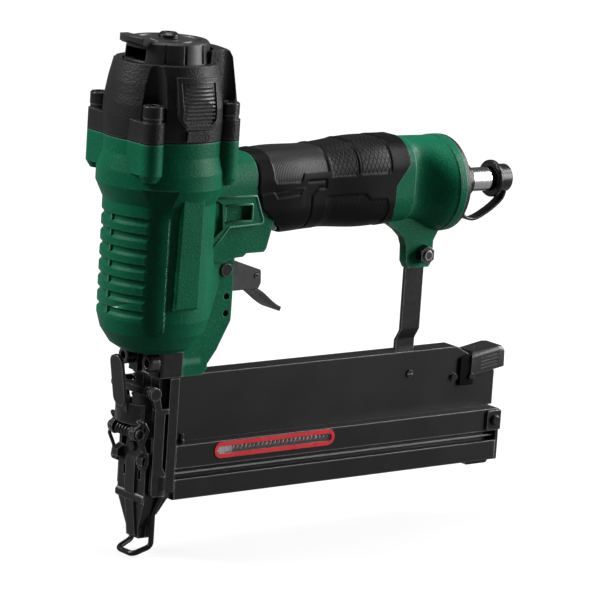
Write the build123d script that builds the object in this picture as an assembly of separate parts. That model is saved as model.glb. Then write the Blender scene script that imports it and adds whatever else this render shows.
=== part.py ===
from build123d import *
import math
import os

os.makedirs("parts", exist_ok=True)

# All sizes in mm. The driver axis is Z, the nose tip's face is z = 0, +X runs to the magazine's rear.

# Play between pieces
PIN_PLAY = 0.05      # a pin in its hole, on the radius
SLIDE_PLAY = 0.3     # pieces that slide past each other

# Screw sizes
M5_R = 2.5
M5_HEAD_R = 4.25
M5_HEAD = 5.0
M6_R = 3.0
M6_HEAD_R = 5.0
M6_HEAD = 6.0
WASHER_T = 2.0

# Barrel, cap and driver
BARREL_R = 27.2
COLLAR_R = 31.0      # the swell under the cap
GASKET_R = 29.2
BARREL_LOW = 93.5
BARREL_TOP = 197.4
BORE_R = 22.5
BORE_FLOOR = 100.0
SLEEVE_R = 20.0
CYLINDER_R = 17.5
SLEEVE_FLANGE = 5.0
CAP_SCREW_AT = 21.9  # half the square of the four cap screws
BOSS_R = 5.6
BOSS_LOW = 181.0
WEB_REACH = 13.0     # flat web from a screw post to the barrel
REAR_BLOCK = (10.0, 34.5, 14.5)  # the block behind the cap: x from, x to, half width
GASKET_T = 0.6
CAP_LOW = BARREL_TOP + GASKET_T
CAP_SEAT = 207.5     # top of the cap's screw bosses
CAP_RIM = 233.2
CAP_RIM_R = 25.4
HUMP_TOP = 239.4
RECESS_R = 21.4
RECESS_FLOOR = 229.5
CAP_CAVITY_TOP = 224.0
GRILLE_FACE = 30.4   # the frame's flat face, from the middle
GRILLE_COUNT = 9
GRILLE_START = 10.2
GRILLE_PITCH = 1.83
RIB_COUNT = 7
RIB_LOW = 114.5
RIB_PITCH = 7.42
RIB_DEPTH = 1.1
FLUTE_R = 11.0
FLUTE_DEPTH = 2.0
PANEL_Y = 28.6

# Exhaust deflector
DEFLECTOR_R = RECESS_R - 1.0
DEFLECTOR_TOP_R = 19.6
DEFLECTOR_LOW = RECESS_FLOOR + SLIDE_PLAY
DEFLECTOR_H = 13.4
DEFLECTOR_TOP = DEFLECTOR_LOW + DEFLECTOR_H
LIP_REACH = 23.4
LIP_HALF = 9.5
POST_R = 4.0
POST_TOP = DEFLECTOR_TOP - 2.8
DEFLECTOR_SCREW_R = 2.5

# Piston, blade and head valve
STROKE = 72.0
PISTON_LOW = 182.0
PISTON_T = 12.0
BLADE_W = 5.8
BLADE_T = 1.2
BUMPER_TOP = PISTON_LOW - STROKE - 0.5
HEAD_VALVE_LOW = 199.6
HEAD_VALVE_H = 11.0

# Casting behind the barrel
TONGUE_HALF = 13.6
TONGUE_LOW = 81.0
TONGUE_FRONT = 9.6
HOUSING_HALF = 16.6  # trigger housing
CHEEK_HALF = 18.7    # raised work round the neck's window
TRIGGER_SLOT = 8.5
TRIGGER_HALF = 8.0
PIVOT = (32.0, 132.0)
PIVOT_R = 2.0
ROCKER_PIN = (54.9, 126.5)
ROCKER_PIN_R = 1.2
GUIDE_PINS = ((33.3, 118.8), (33.4, 110.5))
GUIDE_PIN_R = 1.6
VALVE_X = 44.5
VALVE_FLOOR = 140.0
VALVE_R = 5.5
VALVE_H = 18.0
STEM_R = 2.2
STEM_LOW = VALVE_FLOOR - 5.0
STEM_HEAD_R = 3.5

# Handle
NECK_HALF = (17.6, 19.7)
NECK_Z = 167.4
CORE_HALF = (15.6, 17.2)
CORE_Z = 167.8
GRIP_START = 40.0
GRIP_END = 139.0
GRIP_WIDE = 18.6
GRIP_TALL = (19.9, 22.75)    # half height at the front and at the rear
GRIP_MIDDLE = (167.3, 169.15)
COLLAR_HALF = (17.7, 21.3)   # the casting's own collar behind the grip
COLLAR_END = 143.0
BELL_Z = 165.0
BELL_R = 24.6
BELL_FRONT = 167.0
BELL_REAR = 171.4
COVER_BORE_R = 20.0
COVER_BORE = 8.0

# Rear cover, plug and dust cap
COVER_RING = 2.8
COVER_BOSS_R = 9.2
COVER_END = 186.8
PLUG_R = 6.1
PLUG_RELIEF_R = 5.8  # under the tether ring
PLUG_THREAD_R = 6.6
PLUG_START = 176.0
PLUG_SHOULDER = 203.0
PLUG_NECK_R = 4.7
PLUG_TIP_R = 4.0
PLUG_END = 211.0
PLUG_BORE_R = 2.6
TETHER_T = 2.4
TETHER_R = 8.6
DUST_RIM = 206.0
DUST_RIM_R = 9.5
DUST_R = 7.1
DUST_END = 217.4
DUST_HOLE_R = 6.2
STRAP_T = 1.5
STRAP_HALF = 3.0

# Bracket between the handle and the magazine
EAR_LOW = 123.6
EAR_NEAR = -8.6
EAR_FAR = -3.4
BRACKET_X = (152.2, 163.9)
BRACKET_TOP = 137.0
BRACKET_T = 2.0
BRACKET_FOOT = 1.0   # middle of the lower tang in Y
BRACKET_BOLT = (157.9, 130.6)
NUT_R = 4.7
NUT_T = 4.6
BOLT_HEAD_R = 4.6
BOLT_HEAD = 3.6

# Nose
NOSE_BASE_FRONT = -4.0
GUIDE_FRONT = -0.8   # face of the driver guide that carries the front cover
GUIDE_FLANGE = 3.2
GUIDE_REAR = 8.6
GUIDE_LOW = 20.0
GUIDE_CENTRE = 10.0
HEEL_FRONT = 2.8
HEEL_HALF = 9.0
CHANNEL_HALF = 3.2   # half the width of the fastener channel
COVER_FRONT = -7.0
COVER_TOP = 49.5
COVER_HALF = 11.4
TIP_HALF = 5.1
RIVET_Z = 45.4
RIVET_R = 1.6
NOSE_SCREW_Y = 10.0
NOSE_SCREW_Z = 88.3

# Quick latch on the nose
LEVER_PIN = (-12.0, 54.0)
LEVER_PIN_R = 1.5
LINK_PIN = (-11.0, 60.0)
LINK_R = 0.9
LINK_Y = 14.0
HOOK_LOW = 38.5
LEVER_EAR = (9.2, 10.8)
BRACKET_EAR = (7.0, 8.8)

# Work contact
ARM_Y = (12.3, 14.3)
ARM_TOP = 66.0
WIRE_R = 1.35
WIRE_X = 1.0
WIRE_HALF = 8.0
WIRE_FRONT = -8.4
WIRE_LOW = -6.95
CROSS_PIN = (-6.5, 74.0)
CROSS_PIN_R = 2.0
LINK_PLATE_T = 2.0
ARM_EYE_R = 3.3
CONTACT_TRAVEL = 7.0

# Magazine
RAIL_HALF = 5.3
RAIL_TOP = 79.5
RAIL_WEB = 73.0
RAIL_END = 214.6
RAIL_SLOPE = (188.5, 64.5)
RAIL_LOW = 42.6
RAIL_FLANGE = 7.3
RAIL_FLANGE_T = 2.0
SLIDE_FRONT = 9.2
SLIDE_END = 212.0
SLIDE_HALF = 13.2
SLIDE_LOW = 19.5
SLIDE_FLOOR = 22.5
LEDGE = 46.7
LEDGE_T = 1.8
GROOVE = (29.8, 35.2)
GROOVE_Y = 8.6
GROOVE_RIDGE = (31.8, 32.6)
GROOVE_RIDGE_Y = 10.6
CAVITY_HALF = 11.4
CAVITY_LOW = 38.5
CORE_HALF_W = 2.1
CORE_TOP = 58.0
END_T = 1.6
END_TAB_T = 1.4
END_TAB = (35.8, 46.0)
END_SCREW = (209.6, 41.0)
END_SCREW_R = 1.4
STUD = (15.6, -7.7)
SPRING_Y = -9.55
SPRING_Z = 42.15
FRAME_X = (32.0, 105.7)
FRAME_Z = (38.1, 46.2)
FRAME_T = 0.4
WINDOW_X = (33.7, 104.0)
WINDOW_H = 3.7
PUSHER_X = (10.0, 46.0)
LATCH_PIN = (197.5, 63.8)
LATCH_PIN_R = 1.5
LATCH_HALF = (5.7, 7.7)
STOP_PIN = (187.2, 63.8)
STOP_PIN_R = 1.9
RAIL_SCREW = (157.9, 68.1)
RAIL_SCREW_R = 1.0
THUMB_SPRING_X = 207.0


def slab(points, y0, y1):
    """A plate with its outline in X and Z, from y0 to y1."""
    face = make_face(Polyline([(x, y0, z) for x, z in points], close=True))
    return extrude(face, amount=y1 - y0, dir=(0, 1, 0))


def curved_slab(upper, lower, y0, y1):
    """A plate between two curves in X and Z that run the same way, from y0 to y1."""
    first = Spline([(x, y0, z) for x, z in upper])
    second = Spline([(x, y0, z) for x, z in lower])
    edge = first + second + Line(first @ 0, second @ 0) + Line(first @ 1, second @ 1)
    return extrude(make_face(edge), amount=y1 - y0, dir=(0, 1, 0))


def beam(points, x0, x1):
    """A bar with its section in Y and Z, from x0 to x1."""
    face = make_face(Polyline([(x0, y, z) for y, z in points], close=True))
    return extrude(face, amount=x1 - x0, dir=(1, 0, 0))


def mirrored(points):
    """Closes half an outline, given on +Y from top to bottom, with its mirror image."""
    return points + [(-y, z) for y, z in reversed(points)]


def block(x0, x1, y0, y1, z0, z1):
    return Pos((x0 + x1) / 2, (y0 + y1) / 2, (z0 + z1) / 2) * Box(x1 - x0, y1 - y0, z1 - z0)


def rod(start, direction, radius, length):
    return extrude(Plane(origin=start, z_dir=direction) * Circle(radius), amount=length)


def cross_hole(at, radius, play=PIN_PLAY):
    """A hole right through in Y, at = (x, z)."""
    return rod((at[0], -40, at[1]), (0, 1, 0), radius + play, 80)


def hexagon(start, direction, radius, length):
    return extrude(Plane(origin=start, z_dir=direction) * RegularPolygon(radius, 6), amount=length)


def turned(points):
    """A solid turned about Z, from (radius, z) points."""
    return revolve(make_face(Polyline([(r, 0, z) for r, z in points], close=True)), axis=Axis.Z)


def turned_x(points, z):
    """A solid turned about an X axis at height z, from (x, radius) points."""
    face = make_face(Polyline([(x, 0, z + r) for x, r in points], close=True))
    return revolve(face, axis=Axis((0, 0, z), (1, 0, 0)))


def section(half, x, z, radius):
    """A rounded rectangle across the X axis, half = (width, height)."""
    plane = Plane(origin=(x, 0, z), x_dir=(0, 1, 0), z_dir=(1, 0, 0))
    return plane * RectangleRounded(2 * half[0], 2 * half[1], radius)


def rounded_bar(half, x0, x1, z, radius):
    return extrude(section(half, x0, z, radius), amount=x1 - x0)


def both(make, *args):
    """The same piece on the near and on the far side."""
    return [make(side, *args) for side in (-1, 1)]


def across(side, inner, outer):
    """The Y limits, low one first, of something between two distances from the middle."""
    return (inner, outer) if side > 0 else (-outer, -inner)


def at_corners(make):
    return [make(x * CAP_SCREW_AT, y * CAP_SCREW_AT) for x in (-1, 1) for y in (-1, 1)]


def part_way(ends, x):
    """A value that runs from the grip's front to its rear."""
    return ends[0] + (ends[1] - ends[0]) * (x - GRIP_START) / (GRIP_END - GRIP_START)


def coil(start, axis, radius, wire, turns, length, name):
    """A wound spring along +X, +Y or +Z, swept on arcs of half a turn, and its least gap to itself."""
    pitch = length / turns
    plane = Plane(origin=start, z_dir=axis)
    points = []
    for i in range(turns * 4 + 1):
        turn = i / 4 * 2 * math.pi
        at = (radius * math.cos(turn), radius * math.sin(turn), pitch * i / 4)
        points.append(plane.from_local_coords(Vector(*at)))
    arcs = [ThreePointArc(*points[i:i + 3]) for i in range(0, len(points) - 2, 2)]
    path = Wire(arcs)
    profile = Plane(origin=path @ 0, z_dir=path % 0) * Circle(wire)
    spots = [path @ (i / (24 * turns)) for i in range(24 * turns + 1)]
    far = [(a - b).length for i, a in enumerate(spots) for b in spots[i + 12:i + 40]]
    print(name, "least gap of the coil to itself:", round(min(far) - 2 * wire, 2), "mm")
    return sweep(profile, path=path)


def front_ribs():
    """The grooves between the finger ribs, one set on each side of the parting line at the front."""
    cut = []
    floor = BARREL_R - RIB_DEPTH
    for i in range(RIB_COUNT):
        z = RIB_LOW + RIB_PITCH * i
        outline = [(floor, z + 1.7), (BARREL_R + 4, z + 2.3), (BARREL_R + 4, z - 2.3), (BARREL_R, z - 2.0),
                   (floor, z - 0.8)]
        face = make_face(Polyline([(r, 0, h) for r, h in outline], close=True))
        groove = revolve(face, axis=Axis.Z, revolution_arc=47)
        cut += [Rot(0, 0, 132) * groove, Rot(0, 0, 181) * groove]
    return cut


def barrel_outline():
    """The barrel's flank from its foot up, as (radius, z)."""
    return [(15.5, BARREL_LOW), (20.6, 96.6), (25.2, 103.4), (BARREL_R, 110.5)]


def flank(side):
    """The sweep from the barrel into the tongue, which runs out downwards with the barrel's own taper."""
    start = (16.5, side * 21.6, BARREL_LOW)
    end = (28.2, side * TONGUE_HALF, BARREL_LOW)
    arc = ThreePointArc(start, (21.8, side * 16.7, BARREL_LOW), end)
    edge = arc + Line(end, (28.2, 0, BARREL_LOW)) + Line((28.2, 0, BARREL_LOW), (16.5, 0, BARREL_LOW))
    edge += Line((16.5, 0, BARREL_LOW), start)
    sweep_in = extrude(make_face(edge), amount=48, dir=(0, 0, 1))
    return sweep_in & turned([(0, BARREL_LOW)] + barrel_outline() + [(33, 131), (33, 141), (0, 141)])


def grip_edge():
    """The line where the casting's neck meets the grip's front edge, in X and Z."""
    return [(47.4, 200), (46.6, 184), (45.2, 172), (47.5, 162), (59.5, 152.5), (66, 148), (72, 140)]


def behind_grip():
    """The region of the casting's collar behind the grip's rear edge."""
    return slab([(GRIP_END, 200), (GRIP_END, 179), (130.8, 168), (130.8, 156), (134.5, 147), (134.5, 140),
                 (150, 140), (150, 200)], -40, 40)


def trigger_housing():
    return slab([
        (18, 176), (49, 176), (58.5, 162), (55.8, 151), (53.2, VALVE_FLOOR + 1.4), (51.8, VALVE_FLOOR),
        (41.4, VALVE_FLOOR), (39.4, 138.4), (35.2, 138.2), (28, 136.4), (18, 138),
    ], -HOUSING_HALF, HOUSING_HALF)


def nose_screw_hole(side):
    return rod((-9, side * NOSE_SCREW_Y, NOSE_SCREW_Z), (1, 0, 0), M5_R + PIN_PLAY, 29.5)


def post_web(x, y, low, high):
    """The flat-sided web between a screw post and the barrel, in front of the front pair, behind the rear."""
    flat = math.copysign(CAP_SCREW_AT + BOSS_R, x)
    inner = math.copysign(CAP_SCREW_AT - WEB_REACH, y)
    return block(*sorted((flat, flat * 0.6)), *sorted((y, inner)), low, high)


def screw_boss(x, y):
    """One of the casting's four posts under the cap; the rear pair reaches lower."""
    low = BOSS_LOW if x < 0 else BOSS_LOW - 3.2
    post = Pos(x, y, 0) * turned([(0, low - 2), (3.4, low - 2), (BOSS_R, low + 1.4), (BOSS_R, BARREL_TOP),
                                  (0, BARREL_TOP)])
    return post + post_web(x, y, low + 1.4, BARREL_TOP)


def main_housing():
    barrel = turned([(0, BARREL_LOW)] + barrel_outline() + [
        (BARREL_R, BARREL_TOP - 30.9), (BARREL_R + 1.2, BARREL_TOP - 28.4), (COLLAR_R, BARREL_TOP - 22.8),
        (COLLAR_R, BARREL_TOP - 15.4), (GASKET_R, BARREL_TOP - 7.4), (GASKET_R, BARREL_TOP), (0, BARREL_TOP),
    ])
    flute_at = BARREL_R + FLUTE_R - FLUTE_DEPTH
    barrel -= [Rot(0, 0, turn) * rod((flute_at, 0, 100), (0, 0, 1), FLUTE_R, 75) for turn in (125, 235)]
    barrel -= front_ribs()
    body = barrel + at_corners(screw_boss)
    panel = slab([(-8, 117.5), (6.3, 117.5), (6.5, 196), (-5.7, 196)], -PANEL_Y, PANEL_Y)
    for end in (0, -1):
        panel = fillet(panel.faces().sort_by(Axis.Y)[end].edges(), 1.2)
    tongue = slab([
        (TONGUE_FRONT, TONGUE_LOW), (21.5, TONGUE_LOW), (24.1, 84), (24.1, 86.1), (29.2, 92.8), (30.2, 94.8),
        (36.7, 106.9), (37.5, 114.7), (37.5, 137), (30, 141), (TONGUE_FRONT, 141),
    ], -TONGUE_HALF, TONGUE_HALF)
    for end in (0, -1):
        tongue = fillet(tongue.faces().sort_by(Axis.Y)[end].edges().group_by(Axis.X)[-1], 1.5)
    neck = rounded_bar(NECK_HALF, 10, 80, NECK_Z, 14.5)
    neck -= slab(grip_edge() + [(90, 140), (90, 200)], -40, 40)
    core = rounded_bar(CORE_HALF, GRIP_START, COLLAR_END, CORE_Z, 13)
    cheek = slab([(14, 168.7), (44.2, 168.7), (49.4, 155.5), (48, 154), (28.6, 153.4), (25.4, 149.4),
                  (18, 142.5), (14, 141.5), (14, 145), (17.2, 146.6), (25, 153.2), (23.8, 165.4), (18.6, 168.4)],
                 -CHEEK_HALF, CHEEK_HALF)
    rear = block(*REAR_BLOCK[:2], -REAR_BLOCK[2], REAR_BLOCK[2], 174, BARREL_TOP)
    rear = fillet(rear.edges().filter_by(Axis.Z).group_by(Axis.X)[-1], 4)
    collar = rounded_bar(COLLAR_HALF, 125, COLLAR_END, 168.9, 14.5) & behind_grip()
    waist = loft([
        section((17.0, 20.9), COLLAR_END - 1, 168.8, 14), section((13.2, 21.4), 150, 168, 11),
        section((17.4, 22.8), 157, 166.5, 16), section((22.2, 24.0), 163, 165.2, 21.9),
        section((BELL_R - 0.3, BELL_R - 0.3), 167.5, BELL_Z, BELL_R - 0.4),
    ])
    bell = rod((BELL_FRONT, 0, BELL_Z), (1, 0, 0), BELL_R, BELL_REAR - BELL_FRONT)
    ear = slab([
        (135, 152), (135, 147.2), (141, 143.5), (145.4, 139.5), (147.2, 135), (147.6, 127), (149.6, EAR_LOW),
        (162.6, EAR_LOW), (164.6, 126.6), (164.6, 137), (167.2, 141.6), (167.2, 152),
    ], EAR_NEAR, EAR_FAR)
    body += both(flank)
    body += [panel, tongue, trigger_housing(), neck, core, cheek, rear, collar, waist, bell, ear]

    body -= turned([(0, BORE_FLOOR), (SLEEVE_R, BORE_FLOOR), (SLEEVE_R, 104), (BORE_R, 104),
                    (BORE_R, BARREL_TOP + 1), (0, BARREL_TOP + 1)])
    body -= rod((0, 0, BARREL_LOW - 1), (0, 0, 1), 4.2, BORE_FLOOR - BARREL_LOW + 2)
    body -= at_corners(lambda x, y: rod((x, y, 183.5), (0, 0, 1), M6_R + PIN_PLAY, 20))
    body -= block(25.5, 46, -TRIGGER_SLOT, TRIGGER_SLOT, 121, VALVE_FLOOR)
    body -= rod((VALVE_X, 0, VALVE_FLOOR - 1), (0, 0, 1), VALVE_R + PIN_PLAY, VALVE_H + 1)
    body -= cross_hole(PIVOT, PIVOT_R)
    body -= [cross_hole(at, GUIDE_PIN_R) for at in GUIDE_PINS]
    body -= both(nose_screw_hole)
    body -= both(lambda side: block(26.5, 41.5, *across(side, HOUSING_HALF - 1, 22), 156.7, 164.1))
    body -= rod((BELL_REAR - COVER_BORE - 1, 0, BELL_Z), (1, 0, 0), COVER_BORE_R, COVER_BORE + 2)
    return body - cross_hole(BRACKET_BOLT, M5_R)


def cap_gasket():
    ring = rod((0, 0, BARREL_TOP), (0, 0, 1), GASKET_R, GASKET_T)
    ring += at_corners(lambda x, y: rod((x, y, BARREL_TOP), (0, 0, 1), BOSS_R, GASKET_T))
    ring += at_corners(lambda x, y: post_web(x, y, BARREL_TOP, CAP_LOW))
    ring += block(*REAR_BLOCK[:2], -REAR_BLOCK[2], REAR_BLOCK[2], BARREL_TOP, CAP_LOW)
    ring -= rod((0, 0, BARREL_TOP - 1), (0, 0, 1), BORE_R, 3)
    return ring - at_corners(lambda x, y: rod((x, y, BARREL_TOP - 1), (0, 0, 1), M6_R + PIN_PLAY, 3))


def cap_side(less):
    """The cap's side with its raised work on, less so much all over."""
    low = CAP_LOW - 2
    return turned([(0, low), (31.6 - less, low), (31.4 - less, CAP_LOW + 16), (27.6 - less, CAP_RIM - 3.2),
                   (0, CAP_RIM - 3.2)])


def grille_frame(side):
    """The raised frame round the side grille, with the block under it."""
    outer = [(-12, 10.7), (-8.6, 6.4), (5.9, 6), (11.6, 9.8), (12.4, 18), (10.5, 30), (-11.4, 30.5)]
    inner = [(-9.8, 11.2), (-7.7, 8.6), (6.5, 8.6), (8.8, 11), (9.2, 28), (-9.8, 28)]
    outer, inner = [[(x, CAP_LOW + z) for x, z in line] for line in (outer, inner)]
    frame = slab(outer, *across(side, 10, GRILLE_FACE)) & cap_side(0)
    field = slab(inner, *across(side, 10, GRILLE_FACE - 0.7)) & cap_side(0.7)
    frame -= slab(inner, *across(side, 10, 40))
    foot = [(-7.4, 0.6), (6, 0.6), (5.6, 5.6), (-7, 5.6)]
    return frame + field + slab([(x, CAP_LOW + z) for x, z in foot], *across(side, 10, GRILLE_FACE - 0.3))


def cylinder_cap():
    cap = turned([(0, CAP_LOW), (29.4, CAP_LOW), (29.6, CAP_LOW + 9), (29.3, CAP_LOW + 16),
                  (27.6, CAP_RIM - 9.2), (CAP_RIM_R, CAP_RIM), (0, CAP_RIM)])
    hump = turned([(0, CAP_LOW + 8), (35.6, CAP_LOW + 8), (31, HUMP_TOP - 3.4), (29.6, HUMP_TOP - 0.9),
                   (26.8, HUMP_TOP), (0, HUMP_TOP)])
    hump &= slab([(9, CAP_LOW + 2), (11.5, CAP_RIM - 5.2), (13, HUMP_TOP + 9), (40, HUMP_TOP + 9),
                  (40, CAP_LOW + 2)], -18.6, 18.6)
    rear = block(*REAR_BLOCK[:2], -REAR_BLOCK[2], REAR_BLOCK[2], CAP_LOW, CAP_LOW + 14)
    cap += [hump, fillet(rear.edges().filter_by(Axis.Z).group_by(Axis.X)[-1], 4)]
    cap += both(grille_frame)
    cap += at_corners(lambda x, y: rod((x, y, CAP_LOW), (0, 0, 1), BOSS_R, CAP_SEAT - CAP_LOW))
    cap += at_corners(lambda x, y: post_web(x, y, CAP_LOW, CAP_SEAT))
    cap -= at_corners(lambda x, y: rod((x, y, CAP_SEAT), (0, 0, 1), BOSS_R + 0.7, 40))
    for i in range(GRILLE_COUNT):
        z = CAP_LOW + GRILLE_START + GRILLE_PITCH * i
        floor = GRILLE_FACE - 1.5 - 0.3 * max(0, i - 3)
        cap -= both(lambda side: block(-9.4, 8.6, *across(side, floor, 34), z, z + GRILLE_PITCH / 2))
    cap -= rod((0, 0, RECESS_FLOOR), (0, 0, 1), RECESS_R, 20)
    cap += rod((0, 0, RECESS_FLOOR - 4), (0, 0, 1), POST_R, POST_TOP - RECESS_FLOOR + 4)
    cap -= rod((0, 0, CAP_LOW - 1), (0, 0, 1), BORE_R, CAP_CAVITY_TOP - CAP_LOW + 1)
    port = rod((11, 0, CAP_CAVITY_TOP - 1), (0, 0, 1), 3, RECESS_FLOOR - CAP_CAVITY_TOP + 2)
    cap -= [Rot(0, 0, 45 + 90 * i) * port for i in range(4)]
    cap -= rod((0, 0, POST_TOP - 9), (0, 0, 1), DEFLECTOR_SCREW_R + PIN_PLAY, 12)
    return cap - at_corners(lambda x, y: rod((x, y, CAP_LOW - 1), (0, 0, 1), M6_R + PIN_PLAY, 12))


def socket_screw(head_r, head, shank_r, shank, socket_r):
    """A socket head screw standing on its seat at z = 0, its shank below."""
    top = turned([(0, 0), (head_r, 0), (head_r, head - 0.6), (head_r - 0.6, head), (0, head)])
    top -= hexagon((0, 0, head - 3), (0, 0, 1), socket_r, 4)
    return top + rod((0, 0, -shank), (0, 0, 1), shank_r, shank)


def cap_screws():
    """Four screws, each with its split lock washer."""
    screw = socket_screw(M6_HEAD_R, M6_HEAD, M6_R, 25, 2.9)
    ring = turned([(M6_R + 0.2, 0), (4.8, 0), (4.8, WASHER_T), (M6_R + 0.2, WASHER_T)])
    ring -= block(3, 6, -0.3, 0.3, -1, 4)
    screws = at_corners(lambda x, y: Pos(x, y, CAP_SEAT + WASHER_T) * screw)
    return Compound(screws + at_corners(lambda x, y: Pos(x, y, CAP_SEAT) * ring))


def exhaust_deflector():
    cup = turned([
        (0, DEFLECTOR_LOW), (DEFLECTOR_R, DEFLECTOR_LOW), (DEFLECTOR_R, DEFLECTOR_LOW + 3.2),
        (DEFLECTOR_TOP_R, DEFLECTOR_TOP - 1), (DEFLECTOR_TOP_R - 1, DEFLECTOR_TOP), (0, DEFLECTOR_TOP),
    ])
    top = DEFLECTOR_TOP
    lip = slab([(-12, top - 3), (-19.6, top - 2.4), (-24, top), (-24, top + 2), (-17, top + 2), (-12, top)],
               -LIP_HALF, LIP_HALF)
    cup += lip & rod((0, 0, DEFLECTOR_LOW), (0, 0, 1), LIP_REACH, DEFLECTOR_H + 5)
    inside = POST_R + SLIDE_PLAY
    roof = POST_TOP - 0.8
    cup -= turned([(inside, DEFLECTOR_LOW - 1), (17.4, DEFLECTOR_LOW - 1), (16.8, roof), (inside, roof)])
    cup -= rod((0, 0, DEFLECTOR_LOW - 1), (0, 0, 1), inside, POST_TOP - DEFLECTOR_LOW + 1.3)
    cup -= rod((0, 0, DEFLECTOR_LOW), (0, 0, 1), DEFLECTOR_SCREW_R + SLIDE_PLAY, 20)
    dish = turned([(12.2, DEFLECTOR_TOP - 0.9), (15.6, DEFLECTOR_TOP - 0.9), (16.4, DEFLECTOR_TOP + 1),
                   (11.6, DEFLECTOR_TOP + 1)])
    cup -= dish - block(-30, 0, -LIP_HALF - 0.5, LIP_HALF + 0.5, DEFLECTOR_LOW, top + 5)
    low = DEFLECTOR_LOW + 4
    cup -= slab([(-30, low), (-10, low), (-10, top - 3.8), (-30, top - 3.3)], -8.2, 8.2)
    notch = block(DEFLECTOR_TOP_R - 0.3, 25, -0.7, 0.7, DEFLECTOR_LOW + 3.6, top + 5)
    return cup - [Rot(0, 0, turn) * notch for turn in (70, 100, 128, -70, -100, -128)]


def deflector_screw():
    seat = DEFLECTOR_TOP + SLIDE_PLAY
    screw = turned([(0, seat), (5, seat), (5, seat + 1.6), (3.6, seat + 2.8), (0, seat + 2.8)])
    screw -= hexagon((0, 0, seat + 0.8), (0, 0, 1), 2.3, 4)
    return screw + rod((0, 0, POST_TOP - 8), (0, 0, 1), DEFLECTOR_SCREW_R, seat - POST_TOP + 8)


def cylinder_sleeve():
    outer = SLEEVE_R - PIN_PLAY
    flange = BORE_R - 0.1
    step = BARREL_TOP - SLEEVE_FLANGE
    return turned([(CYLINDER_R, BORE_FLOOR), (outer, BORE_FLOOR), (outer, step), (flange, step),
                   (flange, BARREL_TOP), (CYLINDER_R, BARREL_TOP)])


def seal_rings():
    """Two rings that close the return chamber round the sleeve, and the ring of the rear cover."""
    seal = turned([(SLEEVE_R, 0), (BORE_R - 0.05, 0), (BORE_R - 0.05, 2.4), (SLEEVE_R, 2.4)])
    at = (BELL_REAR - COVER_BORE + 3.9, 0, BELL_Z + 18.84)
    ring = Plane(origin=at, x_dir=(1, 0, 0), z_dir=(0, -1, 0)) * Circle(1.1)
    rear = revolve(ring, axis=Axis((0, 0, BELL_Z), (1, 0, 0)))
    return Compound([Pos(0, 0, 104) * seal, Pos(0, 0, BARREL_TOP - SLEEVE_FLANGE - 2.4) * seal, rear])


def bumper():
    outer = CYLINDER_R - 0.1
    return turned([(4.4, BORE_FLOOR), (outer, BORE_FLOOR), (outer, 103), (outer - 1.9, 105),
                   (outer - 2.9, BUMPER_TOP), (6, BUMPER_TOP), (4.4, BUMPER_TOP - 1.6)])


def piston():
    top = PISTON_LOW + PISTON_T
    outer = CYLINDER_R - PIN_PLAY
    groove = CYLINDER_R - 2.4
    return turned([(0, PISTON_LOW), (9, PISTON_LOW), (9, top - 8), (outer, top - 8), (outer, top - 5.6),
                   (groove, top - 5.6), (groove, top - 2.4), (outer, top - 2.4), (outer, top), (0, top)])


def piston_ring():
    top = PISTON_LOW + PISTON_T
    return turned([(CYLINDER_R - 2.4, top - 5.5), (CYLINDER_R - 0.02, top - 5.5),
                   (CYLINDER_R - 0.02, top - 2.5), (CYLINDER_R - 2.4, top - 2.5)])


def driver_blade():
    return block(-BLADE_T / 2, BLADE_T / 2, -BLADE_W / 2, BLADE_W / 2, STROKE, PISTON_LOW)


def head_valve():
    top = HEAD_VALVE_LOW + HEAD_VALVE_H
    outer = BORE_R - 0.1
    return turned([(6, HEAD_VALVE_LOW), (outer, HEAD_VALVE_LOW), (outer, top), (19, top),
                   (19, HEAD_VALVE_LOW + 3), (9, HEAD_VALVE_LOW + 3), (9, top), (6, top)])


def head_valve_seal():
    """The face ring that closes on the top of the sleeve."""
    return turned([(CYLINDER_R + 0.4, BARREL_TOP), (BORE_R - 0.4, BARREL_TOP), (BORE_R - 0.4, HEAD_VALVE_LOW),
                   (CYLINDER_R + 0.4, HEAD_VALVE_LOW)])


def head_valve_spring():
    low = HEAD_VALVE_LOW + 3
    return coil((0, 0, low + 0.9), (0, 0, 1), 14, 0.9, 4, CAP_CAVITY_TOP - low - 1.8, "head_valve_spring")


def trigger_valve_body():
    top = VALVE_FLOOR + VALVE_H
    bore = STEM_R + PIN_PLAY
    chamber = STEM_HEAD_R + 0.5
    return Pos(VALVE_X, 0, 0) * turned([
        (bore, VALVE_FLOOR), (VALVE_R, VALVE_FLOOR), (VALVE_R, top), (1, top), (1, top - 1.2),
        (chamber, top - 1.2), (chamber, VALVE_FLOOR + 7), (bore, VALVE_FLOOR + 7),
    ])


def valve_stem():
    head = VALVE_FLOOR + 7
    return Pos(VALVE_X, 0, 0) * turned([
        (0, STEM_LOW), (STEM_R - 0.5, STEM_LOW), (STEM_R, STEM_LOW + 0.5), (STEM_R, head),
        (STEM_HEAD_R, head), (STEM_HEAD_R, head + 2), (0, head + 2),
    ])


def valve_spring():
    low = VALVE_FLOOR + 9
    high = VALVE_FLOOR + VALVE_H - 1.2
    return coil((VALVE_X, 0, low + 0.4), (0, 0, 1), 2.9, 0.4, 3, high - low - 0.8, "valve_spring")


def housing_pins():
    """The trigger's headed pin and the two sunk guide pins of the tongue."""
    x, z = PIVOT
    pin = rod((x, -TONGUE_HALF, z), (0, 1, 0), PIVOT_R, 2 * TONGUE_HALF)
    pin += both(lambda side: rod((x, side * TONGUE_HALF, z), (0, side, 0), 3.2, 1.0))
    half = TONGUE_HALF - 1.6
    return Compound([pin] + [rod((a, -half, b), (0, 1, 0), GUIDE_PIN_R, 2 * half) for a, b in GUIDE_PINS])


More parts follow.
